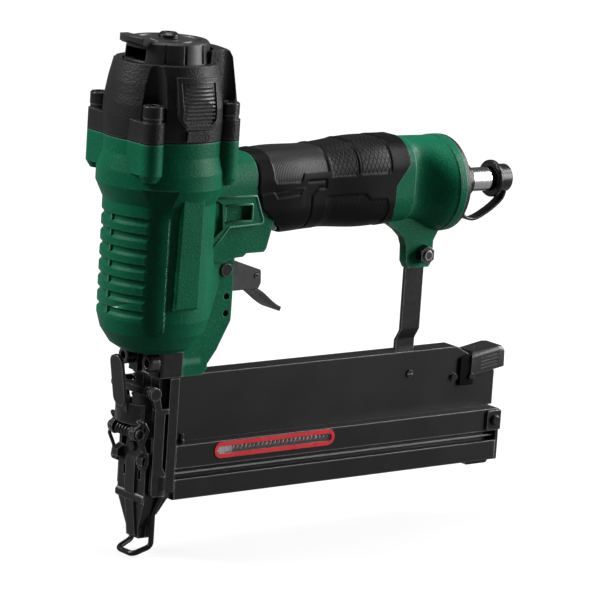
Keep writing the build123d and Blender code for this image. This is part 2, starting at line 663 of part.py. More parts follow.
def trigger():
    outline = [(27.8, 135.8), (42, 134.6), (57.4, 129.2), (57.8, 122.5), (56.3, 119.8), (40, 119.8),
               (38.9, 121.5), (33.4, 124.8), (27.8, 127.7)]
    body = fillet(slab(outline, -TRIGGER_HALF, TRIGGER_HALF).edges().filter_by(Axis.Y), 1.2)
    body -= block(20, 70, -6.6, 6.6, 121.4, 145)
    body -= block(20, 47, -4, 4, 115, 145)
    body += curved_slab([(46, 121.2), (55, 120.6), (60.5, 117.6), (66, 113.2), (72.2, 109.4)],
                        [(46, 119.8), (54.4, 118.5), (59.4, 115.2), (65, 110.9), (71.4, 107.2)], -6.8, 6.8)
    return body - cross_hole(PIVOT, PIVOT_R) - cross_hole(ROCKER_PIN, ROCKER_PIN_R)


def rocker_pin():
    reach = TRIGGER_HALF + 0.4
    return rod((ROCKER_PIN[0], -reach, ROCKER_PIN[1]), (0, 1, 0), ROCKER_PIN_R, 2 * reach)


def rocker():
    arm = slab([(54.9, 125.4), (54.9, 127.8), (38.6, 132.4), (38.2, 130.2)], -5, 5)
    arm += rod((ROCKER_PIN[0], -5, ROCKER_PIN[1]), (0, 1, 0), 2.4, 10)
    return arm - cross_hole(ROCKER_PIN, ROCKER_PIN_R)


def grip_sleeve():
    """The soft grip: it swells and narrows a little along the handle."""
    sections = []
    for x in (40, 54, 68, 82, 96, 110, 124, GRIP_END):
        swell = 0.5 * math.sin((x - 50) / 26 * math.pi)
        half = (GRIP_WIDE + swell, part_way(GRIP_TALL, x) + swell)
        sections.append(section(half, x, part_way(GRIP_MIDDLE, x), 15))
    sleeve = loft(sections) - behind_grip()
    sleeve -= rounded_bar(CORE_HALF, 30, GRIP_END + 5, CORE_Z, 13)
    sleeve -= slab(grip_edge() + [(20, 140), (20, 200)], -40, 40)
    return sleeve - trigger_housing()


def rear_cover():
    low = BELL_REAR - COVER_BORE
    spigot = COVER_BORE_R - 0.2
    ring = BELL_REAR + COVER_RING
    cover = turned_x([
        (low, 0), (low, spigot), (low + 2.6, spigot), (low + 2.6, 17.7), (low + 5.2, 17.7),
        (low + 5.2, spigot), (BELL_REAR, spigot), (BELL_REAR, BELL_R - 0.2), (ring - 0.8, BELL_R - 0.2),
        (ring, BELL_R - 1), (ring, 21.4), (176.6, 18.6), (181.4, 12.6), (183.6, COVER_BOSS_R),
        (COVER_END, COVER_BOSS_R), (COVER_END, 0),
    ], BELL_Z)
    cover -= rod((PLUG_START, 0, BELL_Z), (1, 0, 0), PLUG_THREAD_R + PIN_PLAY, 20)
    return cover - rod((150, 0, BELL_Z), (1, 0, 0), PLUG_BORE_R, 50)


def air_plug():
    return turned_x([
        (PLUG_START, PLUG_BORE_R), (PLUG_START, PLUG_THREAD_R), (COVER_END, PLUG_THREAD_R),
        (COVER_END, PLUG_RELIEF_R), (COVER_END + TETHER_T, PLUG_RELIEF_R), (COVER_END + TETHER_T, PLUG_R),
        (PLUG_SHOULDER, PLUG_R), (PLUG_SHOULDER + 1, PLUG_NECK_R), (205.4, PLUG_NECK_R), (206.2, PLUG_TIP_R),
        (PLUG_END - 0.8, PLUG_TIP_R), (PLUG_END, PLUG_TIP_R - 0.8), (PLUG_END, PLUG_BORE_R),
    ], BELL_Z)


def tether_ring():
    hole = PLUG_RELIEF_R + PIN_PLAY
    end = COVER_END + TETHER_T
    return turned_x([(COVER_END, hole), (COVER_END, TETHER_R), (end, TETHER_R), (end, hole)], BELL_Z)


def dust_cap():
    back = DUST_RIM + 2.2
    floor = DUST_END - 2.2
    return turned_x([
        (DUST_RIM, DUST_HOLE_R), (DUST_RIM, DUST_RIM_R - 0.5), (DUST_RIM + 0.5, DUST_RIM_R),
        (back - 0.5, DUST_RIM_R), (back, DUST_RIM_R - 0.5), (back, DUST_R), (DUST_END - 1.6, DUST_R),
        (DUST_END, DUST_R - 1.8), (DUST_END, 0), (floor, 0), (floor, DUST_HOLE_R - 0.3),
        (back, DUST_HOLE_R - 0.3),
    ], BELL_Z)


def cap_strap():
    """The flat band that hangs in a loop from the ring to the end of the dust cap."""
    middle = [(COVER_END + TETHER_T / 2, BELL_Z - TETHER_R + 0.4), (187.7, 151.6), (188.6, 147.4),
              (192.4, 145.2), (197, 145.2), (203, 147.6), (209, 151), (213.4, 154.6),
              (215.2, BELL_Z - DUST_R + 0.6)]
    edges = []
    for side in (-1, 1):
        line = []
        for i, (x, z) in enumerate(middle):
            before = middle[max(i - 1, 0)]
            after = middle[min(i + 1, len(middle) - 1)]
            run = math.hypot(after[0] - before[0], after[1] - before[1])
            step = side * STRAP_T / 2 / run
            line.append((x - (after[1] - before[1]) * step, z + (after[0] - before[0]) * step))
        edges.append(line)
    band = curved_slab(*edges, -STRAP_HALF, STRAP_HALF)
    band -= rod((COVER_END - 1, 0, BELL_Z), (1, 0, 0), TETHER_R, 8)
    return band - rod((DUST_RIM, 0, BELL_Z), (1, 0, 0), DUST_R, 20)


def hanger_bracket():
    high = EAR_FAR + BRACKET_T
    foot = (BRACKET_FOOT - BRACKET_T / 2, BRACKET_FOOT + BRACKET_T / 2)
    plate = beam([
        (EAR_FAR, BRACKET_TOP), (high, BRACKET_TOP), (high, 90.2), (foot[1], 84.6), (foot[1], RAIL_WEB + 1.2),
        (foot[0], RAIL_WEB + 1.2), (foot[0], 85.2), (EAR_FAR, 90.8),
    ], *BRACKET_X)
    return plate - cross_hole(BRACKET_BOLT, M5_R)


def bracket_bolt():
    x, z = BRACKET_BOLT
    seat = EAR_FAR + BRACKET_T
    end = EAR_NEAR - NUT_T - 1
    head = hexagon((x, seat, z), (0, 1, 0), BOLT_HEAD_R, BOLT_HEAD)
    return head + rod((x, end, z), (0, 1, 0), M5_R, seat - end)


def bracket_nut():
    nut = hexagon((BRACKET_BOLT[0], EAR_NEAR, BRACKET_BOLT[1]), (0, -1, 0), NUT_R, NUT_T)
    return nut - cross_hole(BRACKET_BOLT, M5_R)


def nose_base():
    base = block(NOSE_BASE_FRONT, TONGUE_FRONT, -TONGUE_HALF, TONGUE_HALF, TONGUE_LOW, BARREL_LOW)
    base = fillet(base.edges().filter_by(Axis.Z).group_by(Axis.X)[0], 2.5)
    reach = CROSS_PIN[0] + ARM_EYE_R + SLIDE_PLAY
    high = CROSS_PIN[1] + CONTACT_TRAVEL + ARM_EYE_R + SLIDE_PLAY
    base -= both(lambda side: block(-9, reach, *across(side, ARM_Y[0] - SLIDE_PLAY, 20), 80, high))
    base -= block(-9, -2, -5, 5, 80, 95)
    base -= block(-1.4, 1.4, -CHANNEL_HALF, CHANNEL_HALF, 80, 95)
    return base - both(nose_screw_hole)


def nose_screws():
    screw = Rot(0, -90, 0) * socket_screw(M5_HEAD_R, M5_HEAD, M5_R, 23.5, 2.4)
    return Compound(both(lambda side: Pos(NOSE_BASE_FRONT, side * NOSE_SCREW_Y, NOSE_SCREW_Z) * screw))


def driver_guide():
    centre = mirrored([(GUIDE_CENTRE, TONGUE_LOW), (GUIDE_CENTRE, 33), (6.2, 25), (5.6, 6), (TIP_HALF, 0)])
    flange = mirrored([(TONGUE_HALF, TONGUE_LOW - 0.5), (TONGUE_HALF, GUIDE_LOW + 4),
                       (GUIDE_CENTRE, GUIDE_LOW), (5, GUIDE_LOW)])
    heel = slab([(HEEL_FRONT, 26), (GUIDE_REAR, 26), (GUIDE_REAR, GUIDE_LOW), (HEEL_FRONT, 12.4)],
                -HEEL_HALF, HEEL_HALF)
    guide = beam(centre, GUIDE_FRONT, GUIDE_FLANGE) + beam(flange, GUIDE_FLANGE, GUIDE_REAR) + heel
    guide -= block(GUIDE_FRONT - 1, 0.8, -CHANNEL_HALF, CHANNEL_HALF, -1, 90)
    return guide - block(0, GUIDE_REAR + 1, -CHANNEL_HALF, CHANNEL_HALF, GUIDE_LOW + 1.6, RAIL_WEB)


def front_cover():
    cover = beam(mirrored([(5.2, COVER_TOP), (6, 44.6), (COVER_HALF - 0.4, 42.6), (COVER_HALF, 24),
                           (COVER_HALF, 20.4), (TIP_HALF, 5.2), (TIP_HALF, 0)]), COVER_FRONT, GUIDE_FRONT)
    cover -= slab([(COVER_FRONT - 2, 20), (COVER_FRONT, 20), (-4.6, 0), (-4.6, -2), (-12, -2)], -20, 20)
    proud = COVER_FRONT - 1.2
    rib = slab([(proud, 23), (proud, 38.6), (COVER_FRONT, 41), (COVER_FRONT, 22)], -3.9, 3.9)
    lower = slab([(COVER_FRONT - 0.9, 19), (COVER_FRONT + 0.4, 19), (-4.6, 1.2), (-5.6, 1.2)], -3.4, 3.4)
    bar = slab([(proud, 19.4), (proud, 21.8), (COVER_FRONT - 0.2, 23), (COVER_FRONT, 18.4)],
               -COVER_HALF, COVER_HALF)
    hook = [(COVER_FRONT + 0.5, HOOK_LOW), (-10.4, HOOK_LOW), (-10.4, 42.2), (COVER_FRONT + 0.5, 44.4)]
    cover += [rib, lower, bar]
    cover += both(lambda side: slab(hook, *across(side, 8.2, 12.8)))
    cover -= both(lambda side: block(COVER_FRONT - 1, COVER_FRONT + 1.5, *across(side, 5.2, 7.2), 30, 35))
    return cover - rod((COVER_FRONT - 3, 0, RIVET_Z), (1, 0, 0), RIVET_R + PIN_PLAY, 8)


def latch_bracket():
    base = block(GUIDE_FRONT - 2.2, GUIDE_FRONT, -BRACKET_EAR[1], BRACKET_EAR[1], COVER_TOP + 0.6, 70)
    tip = LEVER_PIN[0]
    ear = [(GUIDE_FRONT - 1, 50.6), (tip - 1.6, 50.6), (tip - 3.4, 53), (tip - 3.4, 55), (tip - 1.6, 57.4),
           (GUIDE_FRONT - 1, 60)]
    base += both(lambda side: slab(ear, *across(side, *BRACKET_EAR)))
    return base - cross_hole(LEVER_PIN, LEVER_PIN_R)


def nose_pins():
    """The lever's headed pin and the round rivet of the front cover."""
    x, z = LEVER_PIN
    reach = LEVER_EAR[1] + 0.4
    pin = rod((x, -reach, z), (0, 1, 0), LEVER_PIN_R, 2 * reach)
    pin += both(lambda side: rod((x, side * reach, z), (0, side, 0), 2.4, 1.0))
    head = rod((COVER_FRONT - 1.4, 0, RIVET_Z), (1, 0, 0), 2.6, 1.4)
    rivet = fillet(head.edges().group_by(Axis.X)[0], 0.9)
    rivet += rod((COVER_FRONT, 0, RIVET_Z), (1, 0, 0), RIVET_R, 5)
    return Compound([pin, rivet])


def latch_lever():
    front = -15.4
    sag = 4.2
    low = 58.2
    wall = 1.8
    outer = ThreePointArc((front + sag, -LEVER_EAR[1], low), (front, 0, low), (front + sag, LEVER_EAR[1], low))
    inner = Pos(wall, 0, 0) * outer
    edge = outer + inner + Line(outer @ 0, inner @ 0) + Line(outer @ 1, inner @ 1)
    shield = extrude(make_face(edge), amount=10, dir=(0, 0, 1))
    lean = math.atan2(3.9, 24.7)
    plane = Plane(origin=(-16.8, 0, 79.2), x_dir=(0, 1, 0), z_dir=(-math.cos(lean), 0, -math.sin(lean)))
    paddle = extrude(plane * RectangleRounded(9.6, 25.5, 4.2), amount=wall)
    bridge = slab([(-15.2, 64), (-13.6, 64), (-14, 72), (-17, 72)], -4.6, 4.6)
    ear = [(-9.2, 68), (-11.2, 68), (-11.4, 58.4), (-15, 55.6), (-15, 52.6), (-13.6, 51), (-10.4, 51),
           (-9, 52.6), (-9, 60)]
    lever = shield + paddle + bridge + both(lambda side: slab(ear, *across(side, *LEVER_EAR)))
    return lever - cross_hole(LEVER_PIN, LEVER_PIN_R) - cross_hole(LINK_PIN, LINK_R)


def latch_spring():
    return coil((LEVER_PIN[0], -6.0, LEVER_PIN[1]), (0, 1, 0), 2.3, 0.65, 5, 12, "latch_spring")


def link_wire(side):
    """A bent wire that hangs in the lever's ear and catches under the cover's hook."""
    x, z = LINK_PIN
    y = side * LINK_Y
    catch = HOOK_LOW - 0.35 - LINK_R
    path = FilletPolyline([
        (x, side * (LEVER_EAR[0] - 0.2), z), (x, y, z), (x + 2.2, y, z - 3.6), (x - 0.6, y, z - 10.6),
        (x + 2.6, y, z - 17.4), (x + 1.8, y, catch), (x + 1.8, side * 9, catch),
    ], radius=1.3)
    return sweep(Plane(origin=path @ 0, z_dir=path % 0) * Circle(LINK_R), path=path)


def latch_links():
    return Compound(both(link_wire))


def contact_wire():
    x = WIRE_X
    end = sum(ARM_Y) / 2
    half = [(x, end, 26), (x, end, 21.4), (x, WIRE_HALF, 12), (x, WIRE_HALF, -3.6),
            (WIRE_FRONT, 6.4, WIRE_LOW)]
    path = FilletPolyline(half + [(a, -b, c) for a, b, c in reversed(half)], radius=3.2)
    return sweep(Plane(origin=path @ 0, z_dir=path % 0) * Circle(WIRE_R), path=path)


def contact_arm(side):
    near = across(side, *ARM_Y)
    end = sum(ARM_Y) / 2
    arm = slab([(-5.3, 24.4), (-4.3, 22.8), (2.6, 22.8), (2.6, 34), (0.6, 37), (0.6, 64), (2.8, 64),
                (2.8, ARM_TOP), (-5.3, ARM_TOP)], *near)
    arm += block(-4.8, 2.8, *across(side, ARM_Y[0] - 1.4, ARM_Y[1]), ARM_TOP - 2.4, ARM_TOP)
    arm += slab([(-4.6, ARM_TOP - 1), (-1.2, ARM_TOP - 1), (-3.2, 73.4), (-7.6, 72)], *near)
    arm += rod((CROSS_PIN[0], near[0], CROSS_PIN[1]), (0, 1, 0), ARM_EYE_R, near[1] - near[0])
    arm += rod((WIRE_X, side * end, 22.8), (0, 0, 1), 2.1, 10)
    arm -= rod((WIRE_X, side * end, 20), (0, 0, 1), WIRE_R + 0.02, 6)
    arm -= block(WIRE_X - 4, GUIDE_FLANGE + 4, *across(side, 0, 11.2), 10, 40)
    return arm - cross_hole(CROSS_PIN, CROSS_PIN_R)


def contact_arms():
    return Compound(both(contact_arm))


def cross_pin():
    x, z = CROSS_PIN
    low = -ARM_Y[1]
    high = ARM_Y[1] + LINK_PLATE_T
    pin = rod((x, low, z), (0, 1, 0), CROSS_PIN_R, high - low) + rod((x, low, z), (0, -1, 0), 3.1, 1.6)
    pin += rod((x, -9, z), (0, 1, 0), CROSS_PIN_R + 0.5, 18)
    return pin + rod((x, high, z), (0, 1, 0), 3.1, 1.6)


def safety_link():
    """The plate that carries the contact's travel up to the trigger's rocker."""
    low = ARM_Y[1]
    outline = [(-9.6, 71), (24, 71), (29.5, 74), (43.6, 104), (43.6, 111), (39.6, 111), (39.6, 106),
               (27, 79.5), (22, 77), (-9.6, 77)]
    plate = fillet(slab(outline, low, low + LINK_PLATE_T).edges().filter_by(Axis.Y), 1.2)
    plate += block(39.6, 43.6, -2, low + 0.5, 108, 111)
    plate += block(39.6, 43.6, -2, 2, 108, 123.6)
    return plate - rod((CROSS_PIN[0], 0, CROSS_PIN[1]), (0, 1, 0), CROSS_PIN_R + PIN_PLAY, 30)


def arm_spring():
    return coil((1.0, 12.4, ARM_TOP + 0.4), (0, 0, 1), 1.35, 0.4, 6, TONGUE_LOW - ARM_TOP - 0.8, "arm_spring")


def magazine_rail():
    foot = RAIL_LOW + RAIL_FLANGE_T
    rail = beam(mirrored([
        (RAIL_HALF, RAIL_TOP), (RAIL_HALF, foot), (RAIL_FLANGE, foot), (RAIL_FLANGE, RAIL_LOW),
        (CHANNEL_HALF, RAIL_LOW), (CHANNEL_HALF, RAIL_WEB),
    ]), GUIDE_REAR, RAIL_END)
    past = RAIL_END + 1
    rail -= slab([(RAIL_SLOPE[0], RAIL_TOP), (past, RAIL_SLOPE[1]), (past, 90), (RAIL_SLOPE[0], 90)], -10, 10)
    rail -= block(SLIDE_END - 0.5, 230, -10, 10, 40, LEDGE + 0.3)
    tang = BRACKET_T / 2 + PIN_PLAY
    rail -= block(BRACKET_X[0] - PIN_PLAY, BRACKET_X[1] + PIN_PLAY, BRACKET_FOOT - tang, BRACKET_FOOT + tang,
                  RAIL_WEB + 1.2, 90)
    rail -= [cross_hole(LATCH_PIN, LATCH_PIN_R), cross_hole(STOP_PIN, STOP_PIN_R)]
    rail -= rod((THUMB_SPRING_X, 0, 66.5), (0, 0, 1), 3.0, 20)
    return rail - rod((RAIL_SCREW[0], 0, RAIL_SCREW[1]), (0, -1, 0), RAIL_SCREW_R + PIN_PLAY, 10)


def window_slot(play, start, depth):
    """A long slot in the level window's place, cut from start towards +Y."""
    plane = Plane(origin=(sum(WINDOW_X) / 2, start, SPRING_Z), x_dir=(1, 0, 0), z_dir=(0, 1, 0))
    return extrude(plane * SlotOverall(WINDOW_X[1] - WINDOW_X[0] - play, WINDOW_H - play), amount=depth)


def end_screw_hole(side):
    return rod((END_SCREW[0], side * 10, END_SCREW[1]), (0, side, 0), END_SCREW_R + PIN_PLAY, 6)


def slide_cover():
    throat = RAIL_HALF + SLIDE_PLAY
    channel = CHANNEL_HALF + 0.1
    half = [
        (SLIDE_HALF - 1, SLIDE_LOW), (SLIDE_HALF, SLIDE_LOW + 1), (SLIDE_HALF, GROOVE[0]),
        (GROOVE_Y, GROOVE[0]), (GROOVE_Y, GROOVE_RIDGE[0]), (GROOVE_RIDGE_Y, GROOVE_RIDGE[0]),
        (GROOVE_RIDGE_Y, GROOVE_RIDGE[1]),
        (GROOVE_Y, GROOVE_RIDGE[1]), (GROOVE_Y, GROOVE[1]), (SLIDE_HALF, GROOVE[1]), (SLIDE_HALF, LEDGE),
        (throat, LEDGE), (throat, LEDGE - LEDGE_T), (CAVITY_HALF, LEDGE - LEDGE_T), (CAVITY_HALF, CAVITY_LOW),
        (channel, CAVITY_LOW), (channel, SLIDE_FLOOR),
    ]
    cover = beam(mirrored(half), SLIDE_FRONT, SLIDE_END)
    cover -= both(lambda side: block(SLIDE_FRONT - 1, SLIDE_END + 1, *across(side, 5.4, SLIDE_HALF - 1.6),
                                     SLIDE_LOW + 1.6, GROOVE[0] - 1.6))
    return cover - window_slot(0, -SLIDE_HALF - 1, 4) - both(end_screw_hole)


def level_frame():
    plane = Plane(origin=(sum(FRAME_X) / 2, -SLIDE_HALF, sum(FRAME_Z) / 2), x_dir=(1, 0, 0), z_dir=(0, -1, 0))
    plate = extrude(plane * SlotOverall(FRAME_X[1] - FRAME_X[0], FRAME_Z[1] - FRAME_Z[0]), amount=FRAME_T)
    return plate - window_slot(0, -SLIDE_HALF - 1, 4)


def level_window():
    return window_slot(0.1, -SLIDE_HALF - 0.1, 1.1)


def slide_core():
    front = SLIDE_FRONT + 0.2
    blade = slab([(front, 36), (206, 36), (204, CORE_TOP), (front + 1.3, CORE_TOP), (front, CORE_TOP - 2)],
                 -CORE_HALF_W, CORE_HALF_W)
    return block(front, SLIDE_END, -CORE_HALF_W, CORE_HALF_W, SLIDE_FLOOR, 36) + blade


def end_plate():
    back = SLIDE_END + END_T
    plate = block(SLIDE_END, back, -SLIDE_HALF, SLIDE_HALF, SLIDE_LOW, LEDGE - 0.3)
    plate = fillet(plate.edges().filter_by(Axis.X), 1.0)
    low, high = END_TAB
    tab = [(204.6, low + 0.8), (205.4, low), (back, low), (back, high), (205.4, high), (204.6, high - 0.8)]
    plate += both(lambda side: slab(tab, *across(side, SLIDE_HALF, SLIDE_HALF + END_TAB_T)))
    reach = SLIDE_HALF + END_TAB_T
    plate += both(lambda side: block(SLIDE_END, back, *across(side, SLIDE_HALF - 2, reach), low, high))
    return plate - both(end_screw_hole)


def pan_screw(side):
    x, z = END_SCREW
    seat = side * (SLIDE_HALF + END_TAB_T)
    head = rod((x, seat, z), (0, side, 0), 2.8, 1.8)
    head = fillet(head.edges().group_by(Axis.Y)[0 if side < 0 else -1], 1.0)
    return head + rod((x, seat, z), (0, -side, 0), END_SCREW_R, 3.0)


def slide_screws():
    """Two pan screws of the end plate, and the stop stud on the ledge."""
    stud = turned([(0, LEDGE), (1.7, LEDGE), (1.7, LEDGE + 1.4), (1.4, LEDGE + 1.6), (1.4, LEDGE + 4),
                   (1.0, LEDGE + 4.4), (0, LEDGE + 4.4)])
    return Compound(both(pan_screw) + [Pos(*STUD, 0) * stud])


def slide_foot():
    foot = slab([(195.4, SLIDE_LOW), (197.4, 17.0), (209.8, 17.0), (211.4, SLIDE_LOW)], -9.5, 9.5)
    return fillet(foot.edges().group_by(Axis.Z)[0].filter_by(Axis.X), 0.8)


def pusher():
    top = CORE_TOP + SLIDE_PLAY + 1.6
    slot = CORE_HALF_W + SLIDE_PLAY
    low = CAVITY_LOW + SLIDE_PLAY
    body = block(*PUSHER_X, -CHANNEL_HALF + 0.25, CHANNEL_HALF - 0.25, 24, top)
    body -= block(0, 60, -slot, slot, 20, CORE_TOP + SLIDE_PLAY)
    body += block(35, 44, SPRING_Y - 1.6, -CHANNEL_HALF + 0.4, low, RAIL_LOW - SLIDE_PLAY)
    return body + block(35, 44, SPRING_Y - 1.6, SPRING_Y + 1.9, low, 44.3)


def pusher_spring():
    return coil((44.4, SPRING_Y, SPRING_Z), (1, 0, 0), 1.3, 0.4, 40, SLIDE_END - 44.8, "pusher_spring")


def magazine_latch():
    outline = [(190, 73.5), (197.4, 75.6), (215.6, 78.6), (218.6, 77.4), (218.6, 67.2), (200.4, 64.4),
               (199.6, 59), (190, 59)]
    shell = slab(outline, -LATCH_HALF[1], LATCH_HALF[1])
    shell = fillet(shell.edges().filter_by(Axis.Y).group_by(Axis.X)[-1], 1.0)
    inside = [(180, 40), (230, 40), (217, 66), (217, 76.6), (198.4, 74.3), (197.4, 76), (197.4, 90), (180, 90)]
    return shell - slab(inside, -LATCH_HALF[0], LATCH_HALF[0]) - cross_hole(LATCH_PIN, LATCH_PIN_R)


def latch_pawl():
    x, z = LATCH_PIN
    arm = slab([(x, 61), (190, CORE_TOP + 2.4), (189.6, 63.5), (192, 66), (x, 66.6)], -2.2, 2.2)
    return arm + rod((x, -2.8, z), (0, 1, 0), 2.8, 5.6) - cross_hole(LATCH_PIN, LATCH_PIN_R)


def rail_pins():
    """The latch's pin, the stop pin before it, and the small slotted screw in the rail's side."""
    reach = LATCH_HALF[1] + 0.4
    proud = RAIL_HALF + 1.3
    pivot = rod((LATCH_PIN[0], -reach, LATCH_PIN[1]), (0, 1, 0), LATCH_PIN_R, 2 * reach)
    stop = rod((STOP_PIN[0], -proud, STOP_PIN[1]), (0, 1, 0), STOP_PIN_R, 2 * proud)
    x, z = RAIL_SCREW
    screw = rod((x, -RAIL_HALF - 0.8, z), (0, 1, 0), 1.9, 0.8)
    screw -= block(x - 3, x + 3, -RAIL_HALF - 1, -RAIL_HALF - 0.4, z - 0.25, z + 0.25)
    screw += rod((x, -RAIL_HALF, z), (0, 1, 0), RAIL_SCREW_R, 1.9)
    return Compound([pivot, stop, screw])


def thumb_spring():
    return coil((THUMB_SPRING_X, 0, 66.9), (0, 0, 1), 2.3, 0.4, 3, 7.4, "thumb_spring")


PIECES = [
    main_housing, cap_gasket, cylinder_cap, cap_screws, exhaust_deflector, deflector_screw, cylinder_sleeve,
    seal_rings, bumper, piston, piston_ring, driver_blade, head_valve, head_valve_seal, head_valve_spring,
    trigger_valve_body, valve_stem, valve_spring, housing_pins, trigger, rocker_pin, rocker, grip_sleeve,
    rear_cover, air_plug, tether_ring, dust_cap, cap_strap, hanger_bracket, bracket_bolt, bracket_nut,
    nose_base, nose_screws, driver_guide, front_cover, nose_pins, latch_bracket, latch_lever, latch_spring,
    latch_links, contact_wire, contact_arms, cross_pin, safety_link, arm_spring, magazine_rail, rail_pins,
    slide_cover, level_frame, level_window, slide_core, end_plate, slide_screws, slide_foot, pusher,
    pusher_spring, magazine_latch, latch_pawl, thumb_spring,
]

for make in PIECES:
    shape = make()
    export_step(shape, "parts/" + make.__name__ + ".step")
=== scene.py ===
import math
import bmesh
import bpy
import numpy as np
from mathutils import Matrix, Vector


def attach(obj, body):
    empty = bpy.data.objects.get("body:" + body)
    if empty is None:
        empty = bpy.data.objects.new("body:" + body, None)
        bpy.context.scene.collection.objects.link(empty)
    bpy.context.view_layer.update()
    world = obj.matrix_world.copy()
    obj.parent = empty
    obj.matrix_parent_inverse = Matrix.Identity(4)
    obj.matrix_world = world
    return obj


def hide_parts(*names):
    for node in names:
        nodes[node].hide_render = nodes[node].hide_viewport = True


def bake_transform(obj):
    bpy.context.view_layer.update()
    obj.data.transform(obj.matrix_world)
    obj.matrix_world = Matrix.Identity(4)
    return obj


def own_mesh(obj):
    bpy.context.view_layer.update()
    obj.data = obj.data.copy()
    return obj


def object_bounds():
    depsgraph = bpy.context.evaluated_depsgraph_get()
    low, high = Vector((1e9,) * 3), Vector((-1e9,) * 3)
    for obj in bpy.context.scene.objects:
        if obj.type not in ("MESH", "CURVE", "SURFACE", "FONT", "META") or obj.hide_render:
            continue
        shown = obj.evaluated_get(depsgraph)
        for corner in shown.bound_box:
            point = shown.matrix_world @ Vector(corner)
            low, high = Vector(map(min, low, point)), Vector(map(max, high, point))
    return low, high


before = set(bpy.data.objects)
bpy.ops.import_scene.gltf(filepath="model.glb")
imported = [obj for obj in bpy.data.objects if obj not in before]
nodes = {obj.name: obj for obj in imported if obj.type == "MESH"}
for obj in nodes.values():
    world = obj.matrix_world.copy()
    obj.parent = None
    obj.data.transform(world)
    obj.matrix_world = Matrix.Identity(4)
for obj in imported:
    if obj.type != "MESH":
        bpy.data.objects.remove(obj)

cad_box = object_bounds()


# The main housing is one aluminium die casting: barrel, tongue, handle core and rear bell.
# It is blasted and sprayed with a dark green paint that dries with a fine, slightly glossy grain.
# The mould leaves a ragged ridge of flash down the barrel, and raised ridges on the trigger housing's cheeks.

class Shade:
    """A socket of a material's nodes, so that what changes over a surface reads as an expression."""

    def __init__(self, tree, socket):
        self.tree = tree
        self.socket = socket

    def node(self, kind, settings=None, values=None, out=0):
        """Any other node: its settings first, then the values or links of its sockets."""
        made = self.tree.nodes.new("ShaderNode" + kind)
        for name, value in (settings or {}).items():
            setattr(made, name, value)
        for name, value in (values or {}).items():
            if isinstance(value, Shade):
                self.tree.links.new(value.socket, made.inputs[name])
            else:
                made.inputs[name].default_value = value
        return Shade(self.tree, made.outputs[out])

    def maths(self, operation, *others):
        """A Math node on this value and the others, in their order."""
        values = {0: self}
        values.update({i + 1: other for i, other in enumerate(others)})
        return self.node("Math", {"operation": operation}, values)

    def __add__(self, other):
        return self.maths("ADD", other)

    def __sub__(self, other):
        return self.maths("SUBTRACT", other)

    def __mul__(self, other):
        return self.maths("MULTIPLY", other)

    def __truediv__(self, other):
        return self.maths("DIVIDE", other)

    def __pow__(self, other):
        return self.maths("POWER", other)

    __radd__ = __add__
    __rmul__ = __mul__

    def __rsub__(self, other):
        return self.node("Math", {"operation": "SUBTRACT"}, {0: other, 1: self})

    def along(self, axis):
        """One coordinate of a place, in metres."""
        return self.node("SeparateXYZ", {}, {0: self}, axis)

    def waves(self, pitch):
        """A sine along this coordinate, one wave to each pitch."""
        return (self * (2 * math.pi / pitch)).maths("SINE")

    def noise(self, size, detail=2.0, stretch=(1, 1, 1)):
        """Noise about 0.5 whose blotches are size metres across, drawn out along an axis by stretch."""
        place = self
        if stretch != (1, 1, 1):
            scale = tuple(1 / s for s in stretch)
            place = self.node("Mapping", {}, {"Vector": self, "Scale": scale})
        return self.node("TexNoise", {}, {"Vector": place, "Scale": 1 / size, "Detail": detail})

    def specks(self, size):
        """Distance to the nearest grain of a packed grit, from 0 at its middle."""
        return self.node("TexVoronoi", {}, {"Vector": self, "Scale": 1 / size})

    def step(self, low, high):
        """0 below low, 1 above high, smooth between."""
        return self.node("MapRange", {"interpolation_type": "SMOOTHSTEP"},
                         {"Value": self, "From Min": low, "From Max": high})

    def between(self, first, second):
        """The two colours mixed by this mask."""
        return self.node("Mix", {"data_type": "RGBA"}, {0: self, 6: first, 7: second}, 2)

    def range(self, low, high):
        """This mask from 0 to 1 taken to low to high."""
        return self * (high - low) + low

    def edge_wear_and_highlight(self, reach):
        """1 on outer edges, 0 inside the distance reach: the mask for edges painted lighter, as worn finish on
        some pieces and as painted highlight.
        """
        open_to = self.node("AmbientOcclusion", {"inside": True, "only_local": True, "samples": 6},
                            {"Distance": reach}, "AO")
        return (1 - open_to).step(0.25, 0.75)

    def normal(self, rounding, strength, depth):
        """Edges rounded by rounding metres, with this height pressed into the surface."""
        soft = self.node("Bevel", {"samples": 4}, {"Radius": rounding})
        return self.node("Bump", {}, {"Strength": strength, "Distance": depth, "Height": self, "Normal": soft})


def finish(name, fixed, draw):
    """A material: fixed holds the constant sockets, and draw gives the others from a place on the piece."""
    material = bpy.data.materials.new(name)
    material.use_nodes = True
    tree = material.node_tree
    shader = tree.nodes["Principled BSDF"]
    for socket, value in fixed.items():
        shader.inputs[socket].default_value = value
    place = Shade(tree, tree.nodes.new("ShaderNodeTexCoord").outputs["Object"])
    for socket, shade in draw(place).items():
        tree.links.new(shade.socket, shader.inputs[socket])
    return material


def dress(material, *names):
    """Gives the CAD nodes their finish."""
    for name in names:
        for holder in nodes[name].material_slots:
            holder.material = material


